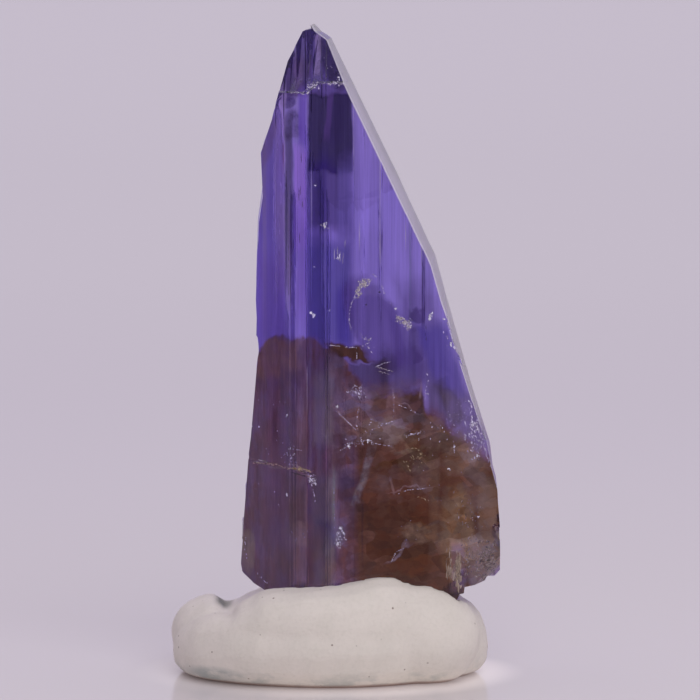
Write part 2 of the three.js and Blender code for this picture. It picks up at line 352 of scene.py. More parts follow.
# Everything in the stone wavers a little from side to side and up and down.
WAVER_REACH = (0.16, 0, 1.5)
waver = put(stone, "ShaderNodeTexNoise", {"Vector": exact_place}, {"Scale": 0.9, "Detail": 3.0})
waver = vector_maths(stone, "ADD", waver.outputs["Color"], (-0.5, -0.5, -0.5))
waver = vector_maths(stone, "MULTIPLY", waver, WAVER_REACH)
place = vector_maths(stone, "ADD", exact_place, waver)
wavering = axes_of(stone, place)
veil = plain_noise(stone, exact_place, Scale=1.9, Detail=5.0, Roughness=0.62)

# A soft-edged patch of the stone around a centre. Lean is how far it shifts in x for each millimetre
# up, Roundness goes from a slab to an oval, and Wisps breaks it up into veils.
patch_group, ins, outs = group_node(
    "soft_patch",
    ["X", "Z", "Veil", "X Scale", "X Shift", "Z Scale", "Z Shift", "Lean", "Blur", "Roundness", "Wisps"],
    ["Mask"],
)
across = maths(patch_group, "MULTIPLY_ADD", ins["X"], ins["X Scale"], ins["X Shift"])
up = maths(patch_group, "MULTIPLY_ADD", ins["Z"], ins["Z Scale"], ins["Z Shift"])
across = maths(patch_group, "SUBTRACT", across, product(patch_group, up, ins["Lean"]))
across = maths(patch_group, "ABSOLUTE", across)
up = maths(patch_group, "ABSOLUTE", up)
slab = maths(patch_group, "MAXIMUM", across, up)
squares = maths(patch_group, "ADD", product(patch_group, across, across), product(patch_group, up, up))
reach = between(patch_group, ins["Roundness"], slab, maths(patch_group, "SQRT", squares))
edge = soft_edge(patch_group, reach, 1.0, ins["Blur"])
torn = maths(patch_group, "SUBTRACT", 1.0, product(patch_group, ins["Wisps"], ins["Veil"]))
patch_group.links.new(product(patch_group, edge, torn), outs["Mask"])
gaps = eased(stone, veil, 0.40, 0.66, 1.0, 0.0)


def patch_mask(centre, half_size, lean=0.0, blur=0.25, roundness=0.0, wisps=0.0):
    """The mask of one soft patch of the stone. centre and half_size are (x, z)."""
    lean_in_half_sizes = lean * half_size[1] / half_size[0]
    terms = [("Lean", lean_in_half_sizes), ("Blur", blur), ("Roundness", roundness), ("Wisps", wisps)]
    terms.append(("Veil", gaps))
    for axis, middle, reach in zip("XZ", centre, half_size):
        terms += [(axis, wavering[axis]), (axis + " Scale", 1 / reach), (axis + " Shift", -middle / reach)]
    return fed(stone, put(stone, "ShaderNodeGroup", node_tree=patch_group), terms).outputs["Mask"]


# How far a point lies behind the front faces, which carry the clearest colour.
TIP_TAPER = (31.0, 34.7, 0.94, 0.27)
CLEAR_DEPTH = (0.5, 1.3)


def line_of(face):
    """The y at which the line of a face passes each point."""
    (x0, y0), (x1, y1) = face
    slope = (y1 - y0) / (x1 - x0)
    return maths(stone, "ADD", product(stone, axes["X"], slope), y0 - slope * x0)


front_line = maths(stone, "MAXIMUM", line_of(FACE_LINES[0]), line_of(FACE_LINES[2]))
front_line = product(stone, front_line, ramped(stone, axes["Z"], *TIP_TAPER))
behind_front = maths(stone, "SUBTRACT", axes["Y"], front_line)
on_front = eased(stone, behind_front, *CLEAR_DEPTH, 1.0, 0.0)

# Growth streaks: thin upright bands of lighter and darker stone, broad ones and fine ones.
broad_streaks = stretched_noise(stone, exact_place, (2.6, 2.6, 0.07), Detail=2.0)
fine_streaks = stretched_noise(stone, exact_place, (11, 11, 0.16), Detail=3.0, Roughness=0.65)
streak = product(stone, eased(stone, broad_streaks, 0.33, 0.67, 0.66, 1.0),
                 eased(stone, fine_streaks, 0.3, 0.7, 0.72, 1.0))

# The front ridge parts a left violet from a greyer right one.
LEFT_VIOLET = (0.55, 0.45, 0.70, 1)
RIGHT_VIOLET = (0.54, 0.48, 0.64, 1)
RIDGE = (0.93, 1.05)
colour = blended(stone, "MIX", eased(stone, axes["X"], *RIDGE), LEFT_VIOLET, RIGHT_VIOLET)

# Patches of colour in the upper stone, each a tint laid over what lies under it:
# centre, half size, tint, how much of it, and what differs from a plain soft slab.
VIOLET_PATCHES = {
    # The dark cap tints are painted shade at the tip, where the faces close in and bend the light away.
    "cap": ((-1.2, 33.05), (4, 2.25), (0.07, 0.04, 0.13), 0.9, {"blur": 0.06}),
    "cap_left": ((-2.15, 31.55), (0.75, 1.2), (0.045, 0.018, 0.06), 0.8, {"lean": 0.45, "roundness": 0.6}),
    "cap_streak": ((-1.85, 31.8), (0.2, 0.9), (0.17, 0.085, 0.15), 0.8, {"blur": 0.35}),
    "cap_sliver": ((-0.87, 32.75), (0.14, 0.95), (0.60, 0.46, 0.44), 0.95, {"lean": 0.04, "blur": 0.15}),
    "cap_thread": ((-1.27, 32.7), (0.05, 0.7), (0.05, 0.013, 0.08), 0.7, {"blur": 0.5}),
    "cap_right": ((-0.1, 32.3), (0.5, 1.1), (0.005, 0.002, 0.009), 0.8, {"lean": -0.3, "roundness": 0.7}),
    "swirl_high": ((-2.38, 30.4), (0.38, 0.35), (0.016, 0.0006, 0.06), 0.92, {"roundness": 1, "wisps": 0.25}),
    "swirl_low": ((-2.15, 29.1), (0.5, 0.8), (0.008, 0.0005, 0.028), 0.85, {"roundness": 0.8, "wisps": 0.4}),
    "edge_glow": ((-1.65, 29.4), (0.2, 1.6), (0.215, 0.096, 0.54), 0.8, {"blur": 0.4}),
    "left_glow": ((-2.83, 27.3), (0.28, 3.6), (0.95, 0.72, 0.74), 0.7, {"blur": 0.35}),
    "left_glow_low": ((-2.75, 23.0), (0.24, 2.4), (0.92, 0.78, 0.44), 0.6, {"blur": 0.5}),
    "red_thread": ((-2.68, 27.4), (0.045, 0.8), (0.3, 0.009, 0.014), 0.7, {"blur": 0.6}),
    "dark_band": ((-2.36, 25.3), (0.22, 4.4), (0.004, 0.001, 0.008), 0.8, {"blur": 0.3}),
    "brown_streak": ((-2.32, 22.4), (0.1, 2.6), (0.07, 0.019, 0.085), 0.8, {"blur": 0.5}),
    "left_margin": ((-3.65, 23.5), (0.1, 5.0), (0.83, 0.77, 0.34), 0.6, {"blur": 0.5}),
    "left_rust": ((-3.4, 28.4), (0.28, 1.2), (0.34, 0.19, 0.035), 0.5, {"roundness": 0.8, "lean": 0.25}),
    "bright_band": ((-1.77, 25.25), (0.31, 2.5), (0.88, 0.50, 1.0), 1.0, {"blur": 0.12}),
    "bright_band_low": ((-1.72, 22.0), (0.28, 2.6), (0.37, 0.22, 0.53), 0.7, {"blur": 0.5}),
    "dark_panel": ((-0.2, 28.9), (1.16, 2.05), (0.001, 0.0005, 0.008), 0.97, {"blur": 0.07}),
    "panel_middle": ((-0.25, 25.6), (1.15, 1.8), (0.011, 0.004, 0.045), 0.85, {"blur": 0.3}),
    # A painted highlight: a lighter streak slanting across the dark panel.
    "panel_highlight": ((-0.3, 29.8), (0.14, 1.2), (0.06, 0.028, 0.085), 0.8, {"lean": 0.08, "blur": 0.4}),
    "panel_wedge": ((0.15, 29.6), (0.4, 1.3), (0.006, 0.0012, 0.018), 0.4, {"lean": 0.22, "blur": 0.6}),
    "panel_pale": ((0.55, 25.2), (0.35, 1.9), (0.17, 0.15, 0.28), 0.7, {"blur": 0.4}),
    "panel_shade": ((-0.6, 25.2), (0.2, 2.2), (0.012, 0.005, 0.065), 0.7, {"blur": 0.5}),
    "blue_panel": ((-0.25, 20.3), (1.2, 3.0), (0.035, 0.048, 0.155), 0.85, {"blur": 0.25}),
    "blue_deep": ((0.55, 19.3), (0.5, 1.8), (0.021, 0.01, 0.15), 0.7, {"blur": 0.4, "roundness": 0.5}),
    "right_thread": ((2.4, 23.6), (0.07, 1.2), (0.01, 0.004, 0.03), 0.8, {"blur": 0.6}),
    "right_pair_a": ((3.93, 21.6), (0.045, 2.6), (0.37, 0.48, 0.4), 0.7, {"blur": 0.6}),
    "right_pair_b": ((4.6, 20.6), (0.09, 2.2), (0.004, 0.002, 0.016), 0.75, {"blur": 0.6}),
    "right_shade": ((1.75, 26.85), (0.55, 3.0), (0.79, 0.69, 0.93), 0.55, {"lean": -0.05, "blur": 0.4}),
    # The hollow tints are painted shade in the levelled hollows of the broken face, darkest at the notch.
    "hollow_floor": (
        (2.1, 18.9), (1.35, 2.6), (0.085, 0.052, 0.145), 0.85,
        {"lean": -0.35, "roundness": 1, "blur": 0.14},
    ),
    "hollow_low": ((3.5, 16.4), (1.5, 1.3), (0.012, 0.004, 0.008), 0.85, {"roundness": 1, "blur": 0.4}),
    "hollow_dark": ((4.35, 17.9), (0.55, 0.8), (0.009, 0.004, 0.014), 0.8, {"roundness": 0.8, "wisps": 0.2}),
    "hollow_notch": (
        (4.33, 17.1), (0.26, 0.2), (0.0015, 0.0007, 0.0015), 0.8,
        {"roundness": 1, "wisps": 0.3},
    ),
    "hollow_shelf": (
        (4.22, 19.3), (0.42, 0.3), (0.004, 0.001, 0.015), 0.85,
        {"roundness": 0.3, "blur": 0.35},
    ),
    "arch_veil": ((1.65, 20.95), (0.6, 0.45), (0.30, 0.26, 0.33), 0.5, {"roundness": 1, "blur": 0.5}),
    "right_dusk": ((4.7, 18.4), (0.9, 2.6), (0.05, 0.025, 0.085), 0.65, {"lean": -0.25, "blur": 0.4}),
    "arch_side": ((3.5, 18.0), (0.5, 1.6), (0.06, 0.035, 0.11), 0.75, {"lean": -0.2, "blur": 0.5}),
    "left_dusk": ((-3.2, 20.0), (0.75, 2.2), (0.42, 0.23, 0.40), 0.5, {"blur": 0.5}),
    "right_smoke": ((5.6, 15.65), (0.42, 0.32), (0.022, 0.021, 0.019), 0.7, {"roundness": 0.6, "wisps": 0.3}),
    "right_deep": ((5.6, 16.9), (0.8, 1.9), (0.057, 0.044, 0.19), 0.8, {"lean": -0.28, "blur": 0.3}),
    "right_grey": ((6.1, 14.6), (0.5, 1.0), (0.057, 0.043, 0.042), 0.7, {"lean": -0.25, "roundness": 0.7}),
    "violet_window": ((1.5, 15.95), (1.35, 1.05), (0.018, 0.009, 0.0065), 0.9, {"blur": 0.15}),
    "right_corner": ((6.7, 13.8), (0.9, 1.5), (0.105, 0.095, 0.018), 0.7, {"lean": -0.3, "wisps": 0.3}),
    "right_umber": (
        (5.35, 14.5), (0.5, 1.5), (0.05, 0.036, 0.014), 0.8,
        {"lean": -0.1, "roundness": 0.4, "blur": 0.4},
    ),
}


def tinted(under, patches):
    """Lays patches of tint over a colour."""
    for centre, half_size, tint, amount, shape in patches.values():
        mask = patch_mask(centre, half_size, **shape)
        under = blended(stone, "MIX", product(stone, mask, amount), under, (*tint, 1))
    return under


colour = tinted(colour, VIOLET_PATCHES)

# The brown foot: everything under a wavering line that drops towards the right.
BORDER_SPAN = (-5.0, 9.0)
BORDER_TOP = 30
BORDER_RAGGEDNESS = 1.1
BORDER = [
    (-5.0, 17.4), (-3.9, 17.4), (-3.4, 17.95), (-2.75, 18.25), (-1.8, 18.1), (-1.1, 18.2), (-0.65, 17.85),
    (-0.1, 17.75), (0.45, 17.3), (0.75, 16.5), (1.4, 15.8), (2.1, 15.55), (3.5, 15.5), (4.5, 15.7),
    (4.75, 14.6), (5.5, 14.0), (6.2, 13.3), (7.4, 12.3), (9.0, 11.5),
]
border = put(stone, "ShaderNodeFloatCurve", {"Value": ramped(stone, axes["X"], *BORDER_SPAN)})
curve = border.mapping.curves[0]
corners = [((x - BORDER_SPAN[0]) / (BORDER_SPAN[1] - BORDER_SPAN[0]), z / BORDER_TOP) for x, z in BORDER]
curve.points[0].location = corners[0]
curve.points[-1].location = corners[-1]
for corner in corners[1:-1]:
    curve.points.new(*corner)
for point in curve.points:
    point.handle_type = "VECTOR"
border.mapping.update()
ragged = product(stone, maths(stone, "SUBTRACT", veil, 0.5), BORDER_RAGGEDNESS)
line = maths(stone, "ADD", product(stone, border.outputs["Value"], BORDER_TOP), ragged)
border_blur = eased(stone, axes["X"], 0.0, 3.0, 0.16, 0.6)
foot_share = soft_edge(stone, axes["Z"], line, border_blur)

LEFT_FOOT_VIOLET = (0.25, 0.145, 0.14, 1)
LEFT_FOOT_BROWN = (0.23, 0.095, 0.055, 1)
RIGHT_FOOT = (0.13, 0.042, 0.007, 1)
MAROON = (0.95, 0.72, 0.72, 1)
mottling = stretched_noise(stone, exact_place, (1.8, 1.8, 0.5), Detail=4.0, Roughness=0.6)
foot = blended(stone, "MIX", eased(stone, mottling, 0.42, 0.58), LEFT_FOOT_VIOLET, LEFT_FOOT_BROWN)
foot = blended(stone, "MIX", eased(stone, axes["X"], 0.4, 1.4), foot, RIGHT_FOOT)
maroon = stretched_noise(stone, exact_place, (3.1, 3.1, 0.12), Detail=2.0)
foot = blended(stone, "MULTIPLY", eased(stone, maroon, 0.42, 0.66, 0, 0.6), foot, MAROON)
FOOT_PATCHES = {
    "rim_brown_left": ((-3.0, 16.9), (1.2, 1.0), (0.50, 0.21, 0.024), 0.72, {"wisps": 0.3}),
    "rim_brown_middle": ((-2.45, 16.5), (0.3, 0.9), (0.62, 0.30, 0.085), 0.6, {"blur": 0.4}),
    "violet_inlay": ((-2.0, 16.0), (0.7, 0.4), (0.08, 0.045, 0.08), 0.6, {"blur": 0.5}),
    "grey_column": ((-0.55, 14.4), (0.5, 1.6), (0.8, 0.9, 0.36), 0.7, {"blur": 0.4, "wisps": 0.3}),
    "maroon_column": ((-3.0, 13.4), (0.45, 2.6), (0.32, 0.08, 0.06), 0.5, {"blur": 0.5}),
    "dark_thread": ((-2.75, 15.5), (0.07, 1.2), (0.16, 0.08, 0.05), 0.8, {"blur": 0.6}),
    "pale_thread": ((-1.26, 14.6), (0.05, 3.0), (0.55, 0.45, 0.35), 0.6, {"blur": 0.6}),
    "left_column": ((-1.72, 16.3), (0.3, 1.6), (0.07, 0.028, 0.044), 0.75, {"blur": 0.4}),
    "umber_column": ((-1.15, 16.2), (0.45, 1.9), (0.12, 0.03, 0.008), 0.35, {"blur": 0.5}),
    "left_column_low": ((-1.72, 9.4), (0.3, 4.2), (0.087, 0.032, 0.03), 0.75, {"blur": 0.4}),
    "rim_dark": ((-0.05, 17.0), (0.5, 0.8), (0.028, 0.007, 0.0015), 0.7, {"blur": 0.4}),
    "border_mist": ((2.4, 15.3), (2.4, 0.55), (0.10, 0.075, 0.03), 0.75, {"blur": 0.5, "wisps": 0.3}),
    "border_dusk": ((1.05, 16.2), (0.6, 0.5), (0.04, 0.018, 0.016), 0.7, {"lean": -0.9, "blur": 0.4}),
    "grey_side": ((0.0, 15.4), (0.48, 2.0), (0.062, 0.041, 0.032), 0.75, {"blur": 0.35}),
    "dusk_column": ((0.1, 12.0), (0.45, 1.8), (0.07, 0.033, 0.016), 0.75, {"blur": 0.5}),
    "smoke_veil": (
        (1.0, 14.85), (0.85, 0.95), (0.38, 0.28, 0.22), 0.75,
        {"roundness": 0.8, "wisps": 0.45, "blur": 0.5},
    ),
    "smoke_low": (
        (1.3, 13.4), (0.65, 0.6), (0.30, 0.24, 0.26), 0.5,
        {"roundness": 0.6, "wisps": 0.4, "blur": 0.5},
    ),
    "violet_patch": ((-2.5, 12.9), (0.5, 1.4), (0.26, 0.17, 0.16), 0.6, {"wisps": 0.6, "blur": 0.5}),
    "maroon_thread": ((-3.13, 13.5), (0.12, 0.9), (0.085, 0.009, 0.015), 0.8, {"blur": 0.6}),
    "blue_thread": ((-0.78, 13.0), (0.12, 1.8), (0.28, 0.24, 0.18), 0.7, {"blur": 0.6}),
    "dark_notch": ((0.45, 12.98), (0.62, 0.36), (0.03, 0.006, 0.004), 0.8, {"roundness": 0.3, "wisps": 0.3}),
    "haze_high": ((2.2, 13.9), (1.8, 1.2), (0.27, 0.20, 0.085), 0.8, {"roundness": 0.7, "wisps": 0.5}),
    "haze_middle": ((2.5, 13.25), (1.2, 0.6), (0.48, 0.48, 0.15), 0.8, {"roundness": 0.4, "wisps": 0.45}),
    "haze_right": ((4.3, 12.6), (1.4, 0.5), (0.32, 0.25, 0.045), 0.6, {"roundness": 0.7, "wisps": 0.9}),
    "brown_window": ((4.1, 14.3), (0.6, 0.4), (0.105, 0.078, 0.028), 0.8, {"blur": 0.4}),
    "blue_band": ((-0.55, 9.3), (0.62, 1.5), (0.25, 0.26, 0.14), 0.8, {"blur": 0.35}),
    "blue_band_line": ((-0.02, 9.6), (0.06, 1.3), (0.27, 0.44, 0.17), 0.7, {"blur": 0.6}),
    "blue_tail": ((-0.3, 7.5), (0.4, 1.1), (0.04, 0.03, 0.055), 0.8, {"lean": -0.2, "blur": 0.4}),
    "grey_tail": ((-0.55, 6.3), (0.5, 1.3), (0.42, 0.55, 0.14), 0.5, {"blur": 0.5, "wisps": 0.4}),
    "violet_column": ((-3.1, 9.0), (0.5, 1.9), (0.23, 0.086, 0.10), 0.6, {"blur": 0.5}),
    "foot_haze": ((-1.7, 7.8), (1.1, 0.6), (0.36, 0.20, 0.09), 0.7, {"roundness": 0.7, "wisps": 0.5}),
    "umber_low": ((-2.5, 6.5), (0.7, 0.6), (0.2, 0.07, 0.012), 0.5, {"roundness": 0.5, "blur": 0.5}),
    "foot_brown": ((-1.9, 9.4), (0.4, 1.3), (0.018, 0.002, 0.002), 0.6, {"blur": 0.5}),
    "chip_grey": ((-4.55, 6.6), (0.35, 1.1), (0.80, 0.75, 0.17), 0.7, {"roundness": 0.6, "wisps": 0.4}),
    "violet_ghost": ((0.75, 10.4), (0.55, 0.75), (0.04, 0.022, 0.03), 0.7, {"roundness": 0.3}),
    "slant_band": (
        (1.5, 10.9), (0.15, 1.1), (0.52, 0.75, 0.34), 0.65,
        {"lean": 0.3, "blur": 0.9, "wisps": 0.8},
    ),
    "amber": ((2.8, 11.5), (0.62, 0.28), (0.085, 0.020, 0.0004), 0.85, {"lean": 1.0, "blur": 0.3}),
    "brown_block": ((2.34, 14.76), (0.4, 0.4), (0.082, 0.035, 0.006), 0.75, {"blur": 0.2, "lean": 0.2}),
    "mauve_block": ((1.95, 14.13), (0.62, 0.25), (0.15, 0.094, 0.053), 0.7, {"blur": 0.3, "lean": 0.8}),
    "brown_shelf": ((4.11, 15.2), (0.55, 0.32), (0.042, 0.01, 0.0006), 0.75, {"blur": 0.25, "lean": -0.4}),
    "mauve_shelf": ((4.03, 14.6), (0.6, 0.3), (0.063, 0.025, 0.014), 0.7, {"blur": 0.3}),
    "brown_step": ((4.5, 13.14), (0.52, 0.3), (0.145, 0.055, 0.005), 0.75, {"blur": 0.25, "lean": 0.5}),
    "haze_step": (
        (5.1, 13.3), (0.5, 0.7), (0.36, 0.24, 0.08), 0.8,
        {"roundness": 0.5, "wisps": 0.3, "blur": 0.5},
    ),
    "mauve_step": ((2.58, 10.84), (0.65, 0.4), (0.15, 0.105, 0.034), 0.6, {"blur": 0.5, "wisps": 0.5}),
    "rust_right": ((5.5, 11.2), (0.5, 0.9), (0.107, 0.042, 0.007), 0.7, {"blur": 0.4, "lean": -0.1}),
    "dark_base": ((4.0, 6.4), (1.2, 0.9), (0.02, 0.0035, 0.0002), 0.75, {"roundness": 0.5, "wisps": 0.2}),
    "warm_base": ((1.9, 7.2), (0.5, 1.0), (0.22, 0.08, 0.014), 0.6, {"roundness": 0.4, "blur": 0.5}),
    "warm_centre": ((3.0, 7.4), (2.3, 2.4), (0.068, 0.015, 0.0006), 0.7, {"roundness": 0.6}),
    "red_fleck": ((1.6, 9.3), (0.5, 0.25), (0.05, 0.0136, 0.0032), 0.7, {"roundness": 1}),
    "speckled": ((4.3, 11.7), (0.9, 0.7), (0.186, 0.154, 0.017), 0.6, {"roundness": 0.6, "wisps": 0.9}),
    "pale_blob": (
        (4.5, 7.95), (0.85, 0.45), (0.54, 0.31, 0.04), 0.7,
        {"roundness": 0.3, "wisps": 0.6, "blur": 0.4},
    ),
    "pale_step": ((4.55, 10.8), (0.45, 0.6), (0.32, 0.22, 0.07), 0.6, {"wisps": 0.5, "blur": 0.4}),
    "upright_band": ((5.2, 9.6), (0.25, 2.4), (0.28, 0.19, 0.042), 0.5, {"blur": 0.5, "wisps": 0.3}),
    "upright_seam": ((1.45, 8.0), (0.05, 1.8), (0.03, 0.01, 0.004), 0.6, {"blur": 0.5}),
    "red_shelf": ((4.2, 8.68), (0.5, 0.06), (0.05, 0.016, 0.0016), 0.7, {"lean": 1.5, "blur": 0.5}),
    "blue_glow": ((0.2, 7.85), (0.4, 0.6), (0.14, 0.16, 0.19), 0.85, {"roundness": 0.6, "blur": 0.6}),
    "violet_right": ((6.5, 12.2), (0.9, 1.2), (0.34, 0.26, 0.06), 0.6, {"lean": -0.3, "wisps": 0.5}),
    "olive_right": ((6.4, 7.8), (0.85, 2.1), (0.55, 0.365, 0.052), 0.75, {"roundness": 0.5, "wisps": 0.45}),
    "grey_right": ((8.0, 9.3), (0.5, 1.5), (0.4, 0.3, 0.08), 0.7, {"roundness": 0.4}),
    "mauve_right": (
        (7.4, 10.9), (0.6, 1.8), (0.45, 0.37, 0.15), 0.45,
        {"lean": -0.1, "blur": 0.5, "wisps": 0.3},
    ),
    "etched": ((7.85, 6.5), (0.9, 1.2), (0.75, 0.62, 0.20), 0.95, {"roundness": 0.3, "wisps": 0.35}),
    "cream_column": ((6.45, 6.2), (0.38, 1.2), (1.0, 0.95, 0.27), 0.95, {"blur": 0.4, "roundness": 0.4}),
}
foot = tinted(foot, FOOT_PATCHES)

# Healed cracks run through the foot as pale veins: from (x, z), to (x, z), half thickness, amount.
VEIN_TINT = (0.72, 0.62, 0.30, 1)
VEINS = [
    ((0.05, 14.3), (1.25, 13.2), 0.05, 0.5), ((1.27, 14.6), (1.13, 13.6), 0.04, 0.35),
    ((1.13, 13.6), (1.27, 12.9), 0.04, 0.35), ((1.4, 12.95), (3.15, 13.85), 0.05, 0.3),
    ((3.05, 15.3), (3.15, 14.0), 0.05, 0.35), ((4.55, 15.9), (4.45, 15.1), 0.05, 0.5),
    ((3.2, 14.75), (4.4, 14.3), 0.04, 0.4), ((3.1, 14.0), (4.2, 13.3), 0.05, 0.2),
    ((-4.2, 11.42), (-2.6, 11.34), 0.04, 0.5), ((-2.9, 11.35), (-1.15, 11.2), 0.05, 0.6),
    ((2.95, 10.9), (3.1, 10.2), 0.05, 0.4), ((3.4, 10.25), (4.8, 10.4), 0.05, 0.5),
    ((2.9, 6.6), (3.8, 7.3), 0.08, 0.4),
]
for (x0, z0), (x1, z1), thickness, amount in VEINS:
    rise = abs(z1 - z0)
    middle = ((x0 + x1) / 2, (z0 + z1) / 2)
    half_size = (thickness * math.hypot(x1 - x0, z1 - z0) / rise, rise / 2)
    mask = patch_mask(middle, half_size, lean=(x1 - x0) / (z1 - z0), blur=0.6, wisps=0.5)
    foot = blended(stone, "MIX", product(stone, mask, amount), foot, VEIN_TINT)

# The foot is cracked through inside, so that it shows as shards of lighter and darker stone: how
# finely they are cut along each axis, the shade of the darkest, and how red the reddest are.
FOOT_LIGHT = (1.44, 1.58, 0.96, 1)
SHATTERED_LIGHT = (1.16, 1.39, 1.75, 1)
SHARD_RED = (1.0, 0.70, 0.42, 1)
SHARD_TURN = 0.5
SHARDS = [((0.6, 0.6, 0.9), 0.42, 1.0), ((1.5, 1.5, 2.2), 0.6, 1.0), ((2.9, 2.9, 4.6), 0.72, 0.3)]
foot = blended(stone, "MULTIPLY", 1.0, foot, FOOT_LIGHT)
shattered = eased(stone, axes["X"], -0.4, 0.9, 0.35, 1.0)
foot = blended(stone, "MULTIPLY", shattered, foot, SHATTERED_LIGHT)
shades = []
for stretch, darkest, redness in SHARDS:
    drawn = vector_maths(stone, "MULTIPLY", exact_place, stretch)
    turned = put(stone, "ShaderNodeVectorRotate", {"Vector": drawn}, {"Angle": SHARD_TURN},
                 rotation_type="Y_AXIS").outputs["Vector"]
    cells = put(stone, "ShaderNodeTexVoronoi", {"Vector": turned}, {"Scale": 1.0}, distance="CHEBYCHEV")
    lots = put(stone, "ShaderNodeSeparateColor", {"Color": cells.outputs["Color"]}).outputs
    shades.append(ramped(stone, lots["Red"], 0, 1, darkest, 1.0))
    reddish = product(stone, eased(stone, lots["Green"], 0, 1, 0, redness), shattered)
    foot = blended(stone, "MULTIPLY", reddish, foot, SHARD_RED)
clouds = eased(stone, veil, 0.35, 0.65, 0.85, 1.0)
shards = between(stone, shattered, 1.0, product(stone, *shades, clouds))
splinters = stretched_noise(stone, place, (4.5, 4.5, 0.9), Detail=3.0, Roughness=0.6)
finest = eased(stone, axes["X"], 0.2, 1.4, 0.62, 0.92)
shards = product(stone, shards, eased(stone, splinters, 0.35, 0.65, finest, 1.0))
colour = blended(stone, "MIX", foot_share, colour, foot)

# Brown that lies as an island in the violet, over the border.
ISLAND_PATCHES = {
    "rim_brown_right": ((0.8, 17.38), (0.95, 0.38), (0.046, 0.014, 0.0012), 1.0, {"blur": 0.3, "lean": -0.8}),
}
colour = tinted(colour, ISLAND_PATCHES)

# The streaks die out in the shattered foot.
FOOT_STREAK = 0.88
streak = between(stone, product(stone, foot_share, shattered), streak, FOOT_STREAK)
shade = product(stone, streak, between(stone, foot_share, 1.0, shards))
shade_colour = put(stone, "ShaderNodeCombineColor", {"Red": shade, "Green": shade, "Blue": shade})
colour = blended(stone, "MULTIPLY", 1.0, colour, shade_colour.outputs["Color"])

# Behind the front faces the stone is nearly even in colour. The slanted right side is painted paler,
# as the lens sees it only: a painted reflection of the pale tent at a grazing angle. Its coat shines.
BODY = (0.80, 0.74, 1.0, 1)
BODY_FOOT = (0.80, 0.66, 0.62, 1)
BODY_BORDER = (11.0, 18.0)
RIGHT_SIDE_REFLECTION = (0.88, 1.0, 0.38, 1)
RIGHT_SIDE_FOOT = (12.0, 15.0)
RIGHT_SIDE_COAT = 0.45
body = blended(stone, "MIX", eased(stone, axes["Z"], *BODY_BORDER), BODY_FOOT, BODY)
colour = blended(stone, "MIX", on_front, body, colour)
outward = axes_of(stone, put(stone, "ShaderNodeNewGeometry").outputs["True Normal"])
# The painted reflection lies on the faces that look right, above the foot.
on_reflecting_side = product(stone, eased(stone, outward["X"], 0.5, 0.7), eased(stone, axes["Z"], *RIGHT_SIDE_FOOT),
                  put(stone, "ShaderNodeLightPath").outputs["Is Camera Ray"])
colour = blended(stone, "MIX", on_reflecting_side, colour, RIGHT_SIDE_REFLECTION)
stone.links.new(colour, shader.inputs["Base Color"])
stone.links.new(product(stone, on_reflecting_side, RIGHT_SIDE_COAT), shader.inputs["Coat Weight"])

# The foot is a little hazy, its lower right corner is etched to a frost, and the back is dull.
HAZE_BORDER = (12.0, 19.0)
FOOT_ROUGHNESS = 0.16
CLEAR_ROUGHNESS = 0.03
FROST_ROUGHNESS = 0.35
BACK_ROUGHNESS = 0.4
RIPPLE_SHARE = 0.35
GRAIN_SHARE = 0.012
RELIEF_DEPTH = 0.06
RELIEF_STRENGTH = 0.35
frost = patch_mask((7.9, 6.2), (0.9, 1.6), roundness=0.3, blur=0.4)
haze = eased(stone, axes["Z"], *HAZE_BORDER, FOOT_ROUGHNESS, CLEAR_ROUGHNESS)
haze = maths(stone, "ADD", haze, product(stone, frost, FROST_ROUGHNESS))
back_haze = eased(stone, on_front, 0.0, 1.0, BACK_ROUGHNESS, 0.0)
stone.links.new(maths(stone, "ADD", haze, back_haze), shader.inputs["Roughness"])
ripples = stretched_noise(stone, exact_place, (7, 7, 0.12), Detail=2.0)
grain = plain_noise(stone, exact_place, Scale=9.0, Detail=3.0)
relief = maths(stone, "ADD", product(stone, ripples, RIPPLE_SHARE),
               product(stone, grain, maths(stone, "ADD", frost, GRAIN_SHARE)))
bump = put(stone, "ShaderNodeBump", {"Height": relief},
           {"Strength": RELIEF_STRENGTH, "Distance": RELIEF_DEPTH * MM})
stone.links.new(bump.outputs["Normal"], shader.inputs["Normal"])

# The stone takes up green and red light all the way through.
STONE_DYE = (0.42, 0.22, 0.93, 1)
DYE_DENSITY = 105
volume = put(stone, "ShaderNodeVolumeAbsorption", values={"Color": STONE_DYE, "Density": DYE_DENSITY})
stone.links.new(volume.outputs["Volume"], stone.nodes["Material Output"].inputs["Volume"])
crystal_mesh.materials.clear()
crystal_mesh.materials.append(tanzanite)
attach(crystal, "root")
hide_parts("tanzanite_crystal")


